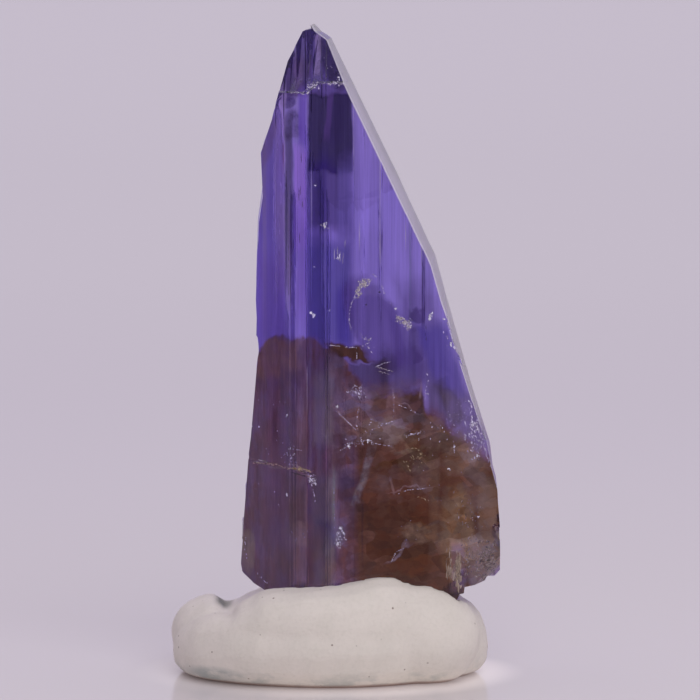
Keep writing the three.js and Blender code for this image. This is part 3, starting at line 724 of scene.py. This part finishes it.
# ---- Cracks and chips in the crystal -------------------------------------------------------------
# Where cracks and knocks reach the faces, the stone is crushed to pale crumbs and slivers, and iron
# has stained some of them. Each chip is a small closed splinter, set half into the face.
# Routes and places are (x, z) as the front is seen, and widths are of the whole line of crumbs.
PALE_CRACKS = {
    "ledge_left": ([(-2.8, 30.85), (-1.6, 30.85)], 0.13, 1.1),
    "ledge_step": ([(-1.6, 30.85), (-1.3, 31.1), (-0.8, 31.35)], 0.2, 1.2),
    "ledge_right": ([(-0.8, 31.35), (-0.2, 31.32), (0.55, 31.4)], 0.13, 1.0),
    "arch_left": ([(1.07, 20.38), (0.8, 19.74), (0.76, 19.0), (0.91, 18.59)], 0.06, 0.75),
    "arch_top": ([(1.73, 21.25), (2.05, 21.5), (2.37, 21.04), (2.6, 20.5), (3.01, 19.8)], 0.07, 0.3),
    "arch_foot": ([(0.91, 18.59), (1.33, 18.4), (1.6, 17.95), (1.97, 17.38)], 0.08, 0.3),
    "border_line": ([(-0.25, 17.8), (0.4, 17.72), (1.15, 17.68)], 0.035, 0.6),
    "border_tail": ([(1.14, 17.68), (1.17, 17.1)], 0.03, 0.5),
    "arrow_high": ([(2.13, 16.65), (2.5, 16.82), (2.94, 16.93)], 0.07, 0.9),
    "right_streak": ([(4.75, 16.5), (4.9, 16.0), (4.75, 15.4), (4.7, 14.9)], 0.04, 0.3),
    "fan_a": ([(0.75, 15.3), (1.0, 15.65), (1.3, 15.3), (1.7, 15.05)], 0.06, 0.6),
    "fan_b": ([(1.0, 15.75), (1.4, 15.5), (1.3, 15.0)], 0.05, 0.4),
    "long_line": ([(0.08, 14.35), (0.5, 14.0), (0.9, 13.6), (1.15, 13.35)], 0.05, 0.9),
    "upright_line": ([(1.26, 14.6), (1.13, 13.75), (1.27, 13.2)], 0.04, 0.4),
    "cross_line": ([(1.6, 13.2), (2.4, 13.6), (3.15, 13.85)], 0.05, 0.35),
    "block_side": ([(3.05, 15.3), (3.1, 14.8), (3.05, 14.1)], 0.05, 0.25),
    "block_top": ([(3.2, 14.7), (3.7, 14.5), (4.3, 14.2)], 0.04, 0.25),
    "knot": ([(0.45, 12.55), (0.9, 12.75), (1.4, 12.8), (1.75, 12.85), (2.05, 12.75)], 0.1, 0.5),
    "knot_tail": ([(2.0, 12.7), (2.4, 12.6), (3.0, 12.5)], 0.05, 0.5),
    "knot_drop": ([(0.9, 12.7), (0.55, 12.45), (0.3, 12.3)], 0.05, 0.7),
    "far_bits": ([(3.75, 13.0), (4.1, 13.15), (4.5, 13.2)], 0.14, 0.8),
    "steel_wisp": ([(3.35, 10.0), (3.8, 10.2), (4.8, 10.25)], 0.04, 0.35),
    "low_wisp": ([(3.0, 6.5), (3.2, 6.95), (3.65, 7.15)], 0.05, 0.6),
    "low_tick": ([(3.75, 7.7), (3.7, 7.3)], 0.03, 0.5),
    "bright_sliver": ([(6.2, 12.7), (6.25, 12.1)], 0.05, 0.9),
    "left_dash": ([(-2.5, 12.25), (-2.1, 12.3), (-1.7, 12.25)], 0.035, 0.4),
    "drop_line": ([(-1.2, 10.5), (-1.05, 10.0), (-1.0, 9.6)], 0.05, 0.5),
    "band_edge": ([(-0.03, 10.6), (-0.02, 9.6), (0.0, 8.6)], 0.03, 0.35),
    "foot_streak": ([(-4.1, 5.6), (-3.75, 5.2), (-3.4, 5.0)], 0.06, 0.4),
    "corner_edge": ([(-4.65, 7.4), (-4.75, 6.8), (-4.6, 6.2)], 0.08, 0.3),
    "right_edge": ([(7.42, 13.5), (7.7, 12.7), (8.05, 11.6)], 0.08, 1.0),
}
IRON_CRACKS = {
    "arch_crust": ([(1.16, 20.47), (1.33, 20.84), (1.55, 21.1), (1.73, 21.2)], 0.12, 0.7),
    "arch_fall": ([(3.18, 19.32), (3.5, 19.05), (3.75, 18.85), (3.9, 18.68)], 0.12, 0.7),
    "arrow_low": ([(2.16, 16.66), (2.6, 16.52), (3.09, 16.4)], 0.08, 0.9),
    "arrow_foot": ([(2.2, 16.45), (2.85, 16.25)], 0.1, 0.5),
}
# Scattered chips: centre, half size, how many, their lengths, their share of width to length, and
# the direction in which they lie, in degrees from the x axis, with its spread.
PALE_SCATTERS = {
    "ledge_glitter": ((-1.1, 31.2), (0.3, 0.18), 40, (0.03, 0.09), 0.7, 0, 180),
    "ledge_glitter_right": ((0.15, 31.33), (0.5, 0.12), 46, (0.03, 0.09), 0.7, 0, 180),
    "cap_specks": ((-0.15, 32.2), (0.45, 0.85), 16, (0.02, 0.05), 0.8, 0, 180),
    "blue_cluster": ((-0.5, 24.0), (0.2, 0.22), 12, (0.04, 0.12), 0.6, 90, 60),
    "strokes": ((0.3, 22.7), (0.3, 0.55), 9, (0.25, 0.6), 0.06, 90, 6),
    "arch_crumbs": ((3.75, 18.85), (0.4, 0.3), 26, (0.03, 0.1), 0.6, 120, 60),
    "arch_foot_crumbs": ((1.55, 17.95), (0.5, 0.35), 22, (0.03, 0.1), 0.6, 130, 40),
    "fan": ((1.05, 15.4), (0.5, 0.28), 22, (0.04, 0.14), 0.2, 140, 60),
    "knot_crumbs": ((1.2, 12.75), (0.8, 0.25), 26, (0.03, 0.11), 0.35, 15, 70),
    "middle_slivers": ((2.2, 13.5), (1.3, 0.7), 12, (0.04, 0.14), 0.15, 20, 60),
    "right_slivers": ((5.2, 13.4), (1.2, 0.8), 14, (0.03, 0.1), 0.2, 80, 60),
    "violet_specks": ((6.4, 13.9), (0.9, 1.2), 30, (0.03, 0.09), 0.3, 100, 60),
    "edge_facets": ((7.3, 13.2), (0.5, 1.6), 110, (0.05, 0.15), 0.35, 110, 30),
    "edge_cluster": ((7.3, 13.5), (0.22, 0.3), 24, (0.06, 0.14), 0.6, 100, 60),
    "high_edge": ((5.9, 18.2), (0.5, 0.9), 16, (0.04, 0.12), 0.4, 110, 30),
    "olive_specks": ((7.1, 9.1), (0.7, 1.2), 12, (0.02, 0.05), 0.4, 0, 180),
    "brown_specks": ((5.6, 10.8), (1.5, 1.2), 8, (0.02, 0.05), 0.4, 0, 180),
    "low_specks": ((4.2, 8.0), (1.8, 1.6), 8, (0.02, 0.05), 0.5, 0, 180),
    "left_cluster": ((-1.15, 10.75), (0.24, 0.26), 34, (0.03, 0.1), 0.6, 60, 80),
    "left_crumbs": ((-2.3, 11.8), (0.35, 0.35), 24, (0.03, 0.09), 0.35, 0, 180),
    "left_specks": ((-3.2, 11.5), (1.4, 3.2), 26, (0.02, 0.05), 0.5, 90, 40),
    "haze_chips": ((-1.9, 7.8), (0.5, 0.45), 12, (0.03, 0.1), 0.3, 80, 40),
    "tip": ((-1.1, 34.35), (0.12, 0.12), 8, (0.05, 0.12), 0.6, 0, 180),
}
RUST_CRACKS = {
    "foot_crack": ([(-4.25, 11.39), (-3.6, 11.37), (-3.0, 11.39), (-2.55, 11.22)], 0.1, 1.2),
    "foot_crack_right": ([(-2.55, 11.22), (-1.9, 11.3), (-1.15, 11.21)], 0.18, 1.3),
    "yellow_bits": ([(3.6, 11.7), (3.8, 11.4), (3.95, 11.2)], 0.05, 0.6),
    "orange_wisp": ([(4.3, 9.85), (4.6, 9.75), (4.95, 9.6)], 0.05, 0.5),
    "red_ring": ([(3.7, 12.3), (4.2, 12.4), (4.6, 12.1), (4.5, 11.8), (3.9, 11.9)], 0.08, 0.4),
}
RUST_SCATTERS = {
    "crack_grit": ((-3.5, 11.37), (0.7, 0.07), 12, (0.03, 0.09), 0.5, 0, 40),
    "crack_grit_right": ((-1.9, 11.27), (0.7, 0.1), 22, (0.04, 0.12), 0.5, 0, 40),
    "right_grit": ((4.15, 11.75), (0.55, 0.35), 22, (0.03, 0.09), 0.5, 0, 180),
}
IRON_SCATTERS = {
    "crust_low": ((1.27, 20.55), (0.16, 0.28), 60, (0.04, 0.12), 0.5, 60, 40),
    "crust_high": ((1.52, 21.0), (0.28, 0.2), 90, (0.04, 0.12), 0.5, 50, 40),
    "crust_end": ((1.8, 21.2), (0.2, 0.1), 20, (0.03, 0.09), 0.4, 30, 40),
    "fall_high": ((3.4, 19.15), (0.24, 0.14), 46, (0.04, 0.11), 0.5, 140, 40),
    "fall_middle": ((3.62, 18.95), (0.24, 0.16), 50, (0.04, 0.11), 0.5, 140, 40),
    "fall_low": ((3.86, 18.72), (0.14, 0.2), 36, (0.03, 0.09), 0.4, 110, 40),
    "upper_grit": ((4.1, 13.05), (0.6, 0.25), 14, (0.03, 0.08), 0.35, 0, 180),
}
CREAM_SCATTERS = {
    "cream_column": ((6.45, 6.0), (0.22, 0.95), 80, (0.12, 0.5), 0.22, 86, 10),
    "cream_left": ((6.0, 6.1), (0.15, 0.9), 22, (0.15, 0.5), 0.14, 88, 8),
}
FROST_SCATTERS = {
    "etched_crust": ((8.0, 6.3), (0.6, 1.1), 190, (0.06, 0.22), 0.5, 20, 60),
    "etched_side": ((7.0, 6.6), (0.4, 1.2), 50, (0.06, 0.2), 0.35, 85, 40),
    "olive_crust": ((6.9, 8.6), (0.8, 1.6), 40, (0.05, 0.18), 0.3, 80, 40),
}
# Near-black chips are painted shade: the dark insides of pits and slots, and thin dark lines and specks.
DARK_SCATTERS = {
    "etched_pits": ((8.1, 6.3), (0.5, 1.1), 40, (0.05, 0.14), 0.6, 0, 180),
    "arch_speck_high": ((2.33, 20.55), (0.03, 0.03), 2, (0.08, 0.1), 0.9, 0, 180),
    "arch_speck_low": ((1.65, 19.9), (0.03, 0.03), 2, (0.06, 0.09), 0.9, 0, 180),
    "band_lines": ((-1.77, 25.3), (0.22, 2.2), 7, (0.2, 0.6), 0.04, 90, 3),
    "cap_pits": ((0.0, 31.75), (0.4, 0.45), 10, (0.05, 0.1), 0.6, 0, 180),
    "slots": ((4.75, 18.6), (0.06, 0.6), 4, (0.12, 0.3), 0.1, 90, 4),
}
# A crowd of painted glints, near-white chips like the sparkles below.
SPARKLE_SCATTERS = {
    "low_crowd": ((0.28, 7.75), (0.33, 0.55), 44, (0.03, 0.1), 0.35, 85, 40),
}
# Painted glints: small broken faces in a near-white colour, which stand as highlights where they
# would catch the lamp: x, z and size.
SPARKLES = [
    (-1.12, 19.35, 0.24), (-1.05, 21.85, 0.07), (-0.25, 19.6, 0.08), (0.18, 22.3, 0.13), (-0.5, 23.95, 0.16),
    (-0.42, 24.15, 0.1), (-1.0, 26.05, 0.09), (0.03, 31.4, 0.12), (0.22, 31.6, 0.16), (3.16, 19.67, 0.12),
    (3.8, 24.55, 0.12), (4.97, 19.25, 0.24), (5.05, 19.42, 0.14), (5.68, 19.1, 0.15), (6.05, 17.8, 0.2),
    (6.2, 17.6, 0.12), (0.15, 14.6, 0.14), (-2.5, 9.85, 0.16), (-1.25, 10.75, 0.2), (-1.0, 10.6, 0.16),
    (-4.35, 13.3, 0.08), (-3.95, 13.3, 0.09), (-2.5, 14.0, 0.1), (-2.3, 12.3, 0.08), (0.32, 8.2, 0.22),
    (0.5, 7.95, 0.16), (0.15, 7.4, 0.14), (5.95, 11.25, 0.14), (7.5, 8.7, 0.12), (7.45, 11.9, 0.18),
    (8.15, 11.35, 0.1), (7.2, 13.6, 0.16), (7.0, 14.8, 0.1), (6.25, 12.4, 0.12), (1.75, 12.8, 0.16),
    (0.75, 12.5, 0.14), (4.85, 15.2, 0.08), (2.25, 16.7, 0.08),
]
CHIPS_PER_SPARKLE = 4
CHIP_PITCH = 0.055
THINNEST_CHIP = 0.045
SCATTER_GROWTH = 1.4
CHIP_SIDES = 5
CORNER_SWING = 0.3
CORNER_REACH = (0.6, 1.1)
TOP_HEIGHT = (0.15, 0.4)
TOP_LEAN = 0.25
LINE_SWELL = (0.35, 1.3)
LINE_WANDER = 0.3
LINE_THICKNESS = (0.3, 0.8)
CHIP_SLIMNESS = (1.2, 3.5)
CHIP_TURN = 22
IN_FRONT = -20
LOT_SCRAMBLE = 37.0

stone_faces = BVHTree.FromPolygons(
    [v.co for v in crystal_mesh.vertices], [p.vertices for p in crystal_mesh.polygons])
dice = random.Random(11)


def chip(work, x, z, length, width, degrees):
    """Adds one closed splinter to a bmesh. Its long side lies in the face, at an angle from x."""
    place, outward, _, _ = stone_faces.ray_cast(Vector((x, IN_FRONT, z)) * MM, Vector((0, 1, 0)))
    if place is None:
        return
    angle = math.radians(degrees)
    along = Vector((math.cos(angle), 0, math.sin(angle)))
    along = (along - outward * along.dot(outward)).normalized()
    across = outward.cross(along)
    height = min(length, width) * dice.uniform(*TOP_HEIGHT)
    ring = []
    for side in range(CHIP_SIDES):
        turn = math.tau * (side + dice.uniform(-CORNER_SWING, CORNER_SWING)) / CHIP_SIDES
        reach = dice.uniform(*CORNER_REACH) * MM / 2
        ring.append(work.verts.new(
            place + along * math.cos(turn) * length * reach + across * math.sin(turn) * width * reach))
    lean = along * dice.uniform(-TOP_LEAN, TOP_LEAN) * length
    lean += across * dice.uniform(-TOP_LEAN, TOP_LEAN) * width
    top = work.verts.new(place + (outward * height + lean) * MM)
    foot = work.verts.new(place - outward * height * MM)
    for corner, next_corner in zip(ring, ring[1:] + ring[:1]):
        work.faces.new((corner, next_corner, top))
        work.faces.new((next_corner, corner, foot))


def line_of_chips(work, route, width, density):
    """Crushes the stone to chips along a route, thinner and thicker by turns."""
    for (x0, z0), (x1, z1) in zip(route, route[1:]):
        length = math.hypot(x1 - x0, z1 - z0)
        heading = math.degrees(math.atan2(z1 - z0, x1 - x0))
        for step in range(max(2, round(length / CHIP_PITCH))):
            share = (step + dice.random()) * CHIP_PITCH / length
            swelling = abs(noise.noise(Vector((x0 + share * 9, z0 * 3, width * 40))))
            swell = LINE_SWELL[0] + LINE_SWELL[1] * swelling
            if share > 1 or dice.random() > density * (0.5 + swell):
                continue
            aside = dice.gauss(0, width * LINE_WANDER * swell)
            x = x0 + (x1 - x0) * share - (z1 - z0) / length * aside
            z = z0 + (z1 - z0) * share + (x1 - x0) / length * aside
            thickness = max(THINNEST_CHIP, width * swell * dice.uniform(*LINE_THICKNESS))
            slimness = dice.uniform(*CHIP_SLIMNESS)
            chip(work, x, z, thickness * slimness, thickness, heading + dice.gauss(0, CHIP_TURN))


def scattered_chips(work, centre, half_size, count, lengths, slimness, heading, spread):
    """Scatters chips over an oval, thickest at its middle."""
    for _ in range(count):
        x = centre[0] + half_size[0] * max(-1, min(1, dice.gauss(0, 0.5)))
        z = centre[1] + half_size[1] * max(-1, min(1, dice.gauss(0, 0.5)))
        length = dice.uniform(*lengths) * SCATTER_GROWTH
        width = max(THINNEST_CHIP, length * slimness)
        chip(work, x, z, length, width, heading + dice.uniform(-spread, spread))


def crushed(work, cracks, scatters):
    """Crushes the stone along cracks and scatters chips over it."""
    for route, width, density in cracks.values():
        line_of_chips(work, route, width, density)
    for scatter in scatters.values():
        scattered_chips(work, *scatter)


def chip_piece(name, colour, dull_colour, alpha_low, roughness, work):
    """Makes one piece of the chips in a bmesh. Colour and density differ from chip to chip."""
    mesh = bpy.data.meshes.new(name)
    bmesh.ops.recalc_face_normals(work, faces=work.faces[:])
    work.to_mesh(mesh)
    work.free()
    material, tree, surface = new_material(name)
    surface.inputs["Roughness"].default_value = roughness
    lot = put(tree, "ShaderNodeNewGeometry").outputs["Random Per Island"]
    tree.links.new(blended(tree, "MIX", lot, dull_colour, colour), surface.inputs["Base Color"])
    second_lot = maths(tree, "FRACT", product(tree, lot, LOT_SCRAMBLE))
    tree.links.new(eased(tree, second_lot, 0, 1, alpha_low, 1.0), surface.inputs["Alpha"])
    mesh.materials.append(material)
    piece = placed(name, mesh)
    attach(piece, "root")


# Each lot of chips: cracks, scatters, colour, dull colour, least density and roughness.
CHIP_LOTS = {
    "pale_chips": (PALE_CRACKS, PALE_SCATTERS, (0.76, 0.70, 0.86, 1), (0.34, 0.28, 0.44, 1), 0.35, 0.4),
    "iron_chips": (IRON_CRACKS, IRON_SCATTERS, (0.54, 0.49, 0.53, 1), (0.32, 0.26, 0.31, 1), 0.5, 0.5),
    "rust_chips": (RUST_CRACKS, RUST_SCATTERS, (0.54, 0.42, 0.26, 1), (0.24, 0.15, 0.08, 1), 0.4, 0.5),
    "cream_chips": ({}, CREAM_SCATTERS, (0.50, 0.40, 0.33, 1), (0.24, 0.17, 0.13, 1), 0.25, 0.5),
    "frost_chips": ({}, FROST_SCATTERS, (0.34, 0.27, 0.28, 1), (0.12, 0.08, 0.08, 1), 0.25, 0.4),
    "dark_chips": ({}, DARK_SCATTERS, (0.03, 0.018, 0.04, 1), (0.07, 0.05, 0.09, 1), 0.3, 0.4),
}
for name, (cracks, scatters, *finish) in CHIP_LOTS.items():
    work = bmesh.new()
    crushed(work, cracks, scatters)
    chip_piece(name, *finish, work)

# The sparkles are near-white chips: painted highlights.
work = bmesh.new()
crushed(work, {}, SPARKLE_SCATTERS)
for x, z, size in SPARKLES:
    for _ in range(CHIPS_PER_SPARKLE):
        chip(work, x + dice.gauss(0, size * 0.2), z + dice.gauss(0, size * 0.25),
             size * dice.uniform(0.5, 1.2), size * dice.uniform(0.35, 0.75), dice.uniform(0, 180))
chip_piece("sparkles", (0.92, 0.90, 0.96, 1), (0.60, 0.57, 0.75, 1), 0.5, 0.25, work)


# ---- Putty ---------------------------------------------------------------------------------------
# A lump of off-white mounting putty, rolled in the fingers and pressed down by hand, so that the
# stone stands upright in it. It has picked up dust, specks and greenish smudges from the table.
PUTTY_COLOUR = (0.72, 0.668, 0.60, 1)
PATCHY_SHADE = (0.90, 0.91, 0.90, 1)
FINE_SHADE = (0.90, 0.90, 0.89, 1)
SMUDGE_COLOUR = (0.33, 0.365, 0.35, 1)
FOLD_COLOUR = (0.16, 0.17, 0.13, 1)
CONTACT_SHADOW_COLOUR = (0.34, 0.22, 0.19, 1)
SPECK_COLOUR = (0.16, 0.10, 0.08, 1)
PUTTY_VOXEL = 0.15
PUTTY_SOFTENING = 5
PUTTY_CENTRE = (-0.35, -0.1)
UNDERCUT_HEIGHT = 2.0
UNDERCUT_ASIDE = -0.04
UNDERCUT_IN_DEPTH = 0.12
HUG_REACH = 0.5
HUG_GAP = 0.03
HUG_BOTTOM = 3
HUG_POWER = 0.3
# How far the rim rises over the moulded lump, against x, and from which height of the lump.
RIM_LIFT = [
    (-8.8, 0.0), (-5.0, 0.0), (-3.5, 0.1), (0.0, 0.2), (2.0, 0.35), (4.2, 0.4), (5.6, 0.2), (7.0, 0.1),
    (8.6, 0.0),
]
RIM_BOTTOM = 2.5
RIM_FADE = 1.5
# Kneading: how many swells to the millimetre, and how far they lift the putty.
KNEADING = [(0.45, 0.10), (1.3, 0.03), (4, 0.008)]
# Finger dents and creases: centre, half sizes and depth.
PUTTY_DENTS = [
    ((-5.7, 0.0, 4.3), (0.55, 7.0, 0.8), 0.7),
    ((-2.6, -6.4, 2.9), (3.2, 1.5, 0.35), 0.1),
    ((1.4, -6.6, 1.3), (3.8, 1.5, 0.5), 0.08),
    ((5.8, -4.2, 3.2), (0.5, 2.0, 1.4), 0.06),
    ((-6.6, -4.4, 2.2), (0.8, 1.5, 0.9), 0.1),
]

putty = placed("putty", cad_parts["putty_base"].data.copy())
remesh = putty.modifiers.new("soft", "REMESH")
remesh.mode = "VOXEL"
remesh.voxel_size = PUTTY_VOXEL * MM
smooth = putty.modifiers.new("smooth", "SMOOTH")
smooth.factor = 0.5
smooth.iterations = PUTTY_SOFTENING
depsgraph = bpy.context.evaluated_depsgraph_get()
soft = bpy.data.meshes.new_from_object(putty.evaluated_get(depsgraph))
putty.modifiers.clear()
putty.data = soft


def kneaded(place, outward):
    """Moves one point of the putty as fingers would. Both are vectors, and place is in millimetres."""
    x, y, z = place
    moved = Vector((x, y, z + level_at(RIM_LIFT, x) * clamped((z - RIM_BOTTOM) / RIM_FADE)))
    for centre, half_size, depth in PUTTY_DENTS:
        away = Vector([(at - middle) / reach for at, middle, reach in zip(place, centre, half_size)])
        moved -= outward * depth * math.exp(-away.length_squared)
    knead = sum(noise.noise(place * fineness) * lift for fineness, lift in KNEADING)
    moved += outward * knead * min(1, z)
    low = max(0, 1 - z / UNDERCUT_HEIGHT)
    moved.x += (PUTTY_CENTRE[0] - x) * UNDERCUT_ASIDE * low * low
    moved.y += (PUTTY_CENTRE[1] - y) * UNDERCUT_IN_DEPTH * low * low
    moved.z = max(0, moved.z)
    nearest, _, _, distance = stone_faces.find_nearest(moved * MM)
    distance /= MM
    if distance < HUG_REACH and z > HUG_BOTTOM:
        gap_kept = 1 - HUG_GAP / max(distance, HUG_GAP)
        moved += (nearest / MM - moved) * gap_kept * (1 - distance / HUG_REACH) ** HUG_POWER
    return moved


for vertex, bearing in zip(soft.vertices, [v.vector.copy() for v in soft.vertex_normals]):
    vertex.co = kneaded(vertex.co / MM, bearing) * MM
for face in soft.polygons:
    face.use_smooth = True

putty_material, dough, shader = new_material("putty")
spot = in_millimetres(dough)
axes = axes_of(dough, spot)
patchy = plain_noise(dough, spot, Scale=0.6, Detail=4.0)
fine = plain_noise(dough, spot, Scale=5.0, Detail=4.0, Roughness=0.6)
shown = blended(dough, "MULTIPLY", eased(dough, patchy, 0.35, 0.68, 0, 0.5), PUTTY_COLOUR, PATCHY_SHADE)
shown = blended(dough, "MULTIPLY", eased(dough, fine, 0.42, 0.75, 0, 0.5), shown, FINE_SHADE)

# Smudges low down and where a thumb pressed, the painted shade in the fold at the left, and a
# painted contact shadow along the foot of the lump.
THUMB_SQUEEZE = (0.5, 0, 1.8)
THUMB_CENTRE = (-3.1, 0, 1.0)
FOLD_SQUEEZE = (0.6, 0, 1)
FOLD_CENTRE = (-3.6, 0, 3.55)


def away_from(centre, squeeze):
    """How far each point of the putty lies from a centre, with its axes squeezed."""
    return vector_maths(dough, "DISTANCE", vector_maths(dough, "MULTIPLY", spot, squeeze), centre)


smeared = stretched_noise(dough, spot, (0.6, 0.6, 1.1), Detail=4.0, Roughness=0.6)
low_down = eased(dough, axes["Z"], 0.2, 1.3, 1.0, 0.0)
smudge = product(dough, eased(dough, smeared, 0.46, 0.66, 0, 0.5), low_down)
thumbed = eased(dough, away_from(THUMB_CENTRE, THUMB_SQUEEZE), 0.3, 1.1, 0.8, 0.0)
thumbed = product(dough, thumbed, eased(dough, smeared, 0.34, 0.56, 0.2, 1.0))
shown = blended(dough, "MIX", maths(dough, "MAXIMUM", smudge, thumbed), shown, SMUDGE_COLOUR)
fold = eased(dough, away_from(FOLD_CENTRE, FOLD_SQUEEZE), 0.1, 0.45, 0.9, 0.0)
fold = product(dough, fold, eased(dough, axes["Y"], -0.9, 0.8), eased(dough, axes["Y"], 1.5, 3.5, 1.0, 0.25))
shown = blended(dough, "MIX", fold, shown, FOLD_COLOUR)
# A painted contact shadow, dark and reddish, along the lowest edge of the lump.
shown = blended(dough, "MIX", eased(dough, axes["Z"], 0.08, 0.3, 0.85, 0.0), shown, CONTACT_SHADOW_COLOUR)

# A speck sits in some of the cells of a net.
grains = put(dough, "ShaderNodeTexVoronoi", {"Vector": spot}, {"Scale": 1.6}).outputs
chosen = put(dough, "ShaderNodeSeparateColor", {"Color": grains["Color"]}).outputs["Red"]
speck = eased(dough, grains["Distance"], 0.06, 0.12, 1.0, 0.0)
speck = product(dough, speck, eased(dough, chosen, 0.72, 0.76))
shown = blended(dough, "MIX", product(dough, speck, 0.8), shown, SPECK_COLOUR)
dough.links.new(shown, shader.inputs["Base Color"])
dough.links.new(eased(dough, patchy, 0.3, 0.7, 0.62, 0.8), shader.inputs["Roughness"])

PUTTY_RELIEF_DEPTH = 0.08
PUTTY_RELIEF_STRENGTH = 0.35
texture = maths(dough, "ADD", fine, product(dough, patchy, 1.5))
bump = put(dough, "ShaderNodeBump", {"Height": texture},
           {"Strength": PUTTY_RELIEF_STRENGTH, "Distance": PUTTY_RELIEF_DEPTH * MM})
dough.links.new(bump.outputs["Normal"], shader.inputs["Normal"])
soft.materials.clear()
soft.materials.append(putty_material)
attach(putty, "root")
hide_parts("putty_base")


# ---- Table ---------------------------------------------------------------------------------------
# The lump is pressed onto a sheet of stiff, pale, glossy board, which lies flat and reaches far.
# The board mirrors the putty faintly and throws light up at it.
NEAR_BOARD = (0.64, 0.60, 0.60, 1)
MIDDLE_BOARD = (0.64, 0.60, 0.62, 1)
FAR_BOARD = (0.70, 0.67, 0.665, 1)
LIT_BOARD = (0.90, 0.86, 0.86, 1)
MIRRORED_BOARD = (0.06, 0.055, 0.065, 1)
THROUGH_STONE_BOARD = (0.72, 0.66, 0.96, 1)
BOARD_RADIUS = 1.5
BOARD_CORNERS = 96
BOARD_ROUGHNESS = 0.12
NEAR_TO_MIDDLE = (0.02, 0.10)
MIDDLE_TO_FAR = (0.11, 0.27)
MIRROR_LIMITS = (-0.015, -0.06)
PUTTY_HALF_WIDTH = 8.4
PUTTY_HALF_DEPTH = 6.8
BOARD_GLOW = 0.17
LEAST_GLOW = 0.012
GLOW_COOL_SHARE = 0.9

bpy.ops.mesh.primitive_circle_add(vertices=BOARD_CORNERS, radius=BOARD_RADIUS, fill_type="NGON")
table = bpy.context.object
table.name = "table"
board, sheet, surface = new_material("glossy_board")
spot = axes_of(sheet, put(sheet, "ShaderNodeTexCoord").outputs["Object"])
shown = blended(sheet, "MIX", eased(sheet, spot["Y"], *NEAR_TO_MIDDLE), NEAR_BOARD, MIDDLE_BOARD)
shown = blended(sheet, "MIX", eased(sheet, spot["Y"], *MIDDLE_TO_FAR), shown, FAR_BOARD)
# The board's colour is painted by the kind of ray: dark where glossy faces mirror its front, brighter for
# diffuse light, so that it throws more light up, and bluer seen through the stone.
in_mirror = product(sheet, eased(sheet, spot["Y"], *MIRROR_LIMITS), mirrored(sheet))
shown = blended(sheet, "MIX", in_mirror, shown, MIRRORED_BOARD)
path = put(sheet, "ShaderNodeLightPath").outputs
shown = blended(sheet, "MIX", path["Is Diffuse Ray"], shown, LIT_BOARD)
shown = blended(sheet, "MIX", path["Is Transmission Ray"], shown, THROUGH_STONE_BOARD)
sheet.links.new(shown, surface.inputs["Base Color"])

# A painted glow: the board gives off light round the lump, and faintly everywhere, which lifts the
# shade at the lump's foot so that the board stays bright right up to it.
aside = maths(sheet, "SUBTRACT", spot["X"], PUTTY_CENTRE[0] * MM)
aside = maths(sheet, "DIVIDE", aside, PUTTY_HALF_WIDTH * MM)
behind = maths(sheet, "SUBTRACT", spot["Y"], PUTTY_CENTRE[1] * MM)
behind = maths(sheet, "DIVIDE", behind, PUTTY_HALF_DEPTH * MM)
away = maths(sheet, "ADD", product(sheet, aside, aside), product(sheet, behind, behind))
glow = product(sheet, eased(sheet, away, 0.9, 1.6, BOARD_GLOW, 0.0), eased(sheet, aside, -0.8, 0.1, 0.3, 1.0))
glow = maths(sheet, "ADD", glow, LEAST_GLOW)
cooler = product(sheet, glow, GLOW_COOL_SHARE)
glow_colour = put(sheet, "ShaderNodeCombineColor", {"Red": glow, "Green": cooler, "Blue": cooler})
sheet.links.new(glow_colour.outputs["Color"], surface.inputs["Emission Color"])
surface.inputs["Emission Strength"].default_value = 1
surface.inputs["Roughness"].default_value = BOARD_ROUGHNESS
table.data.materials.append(board)
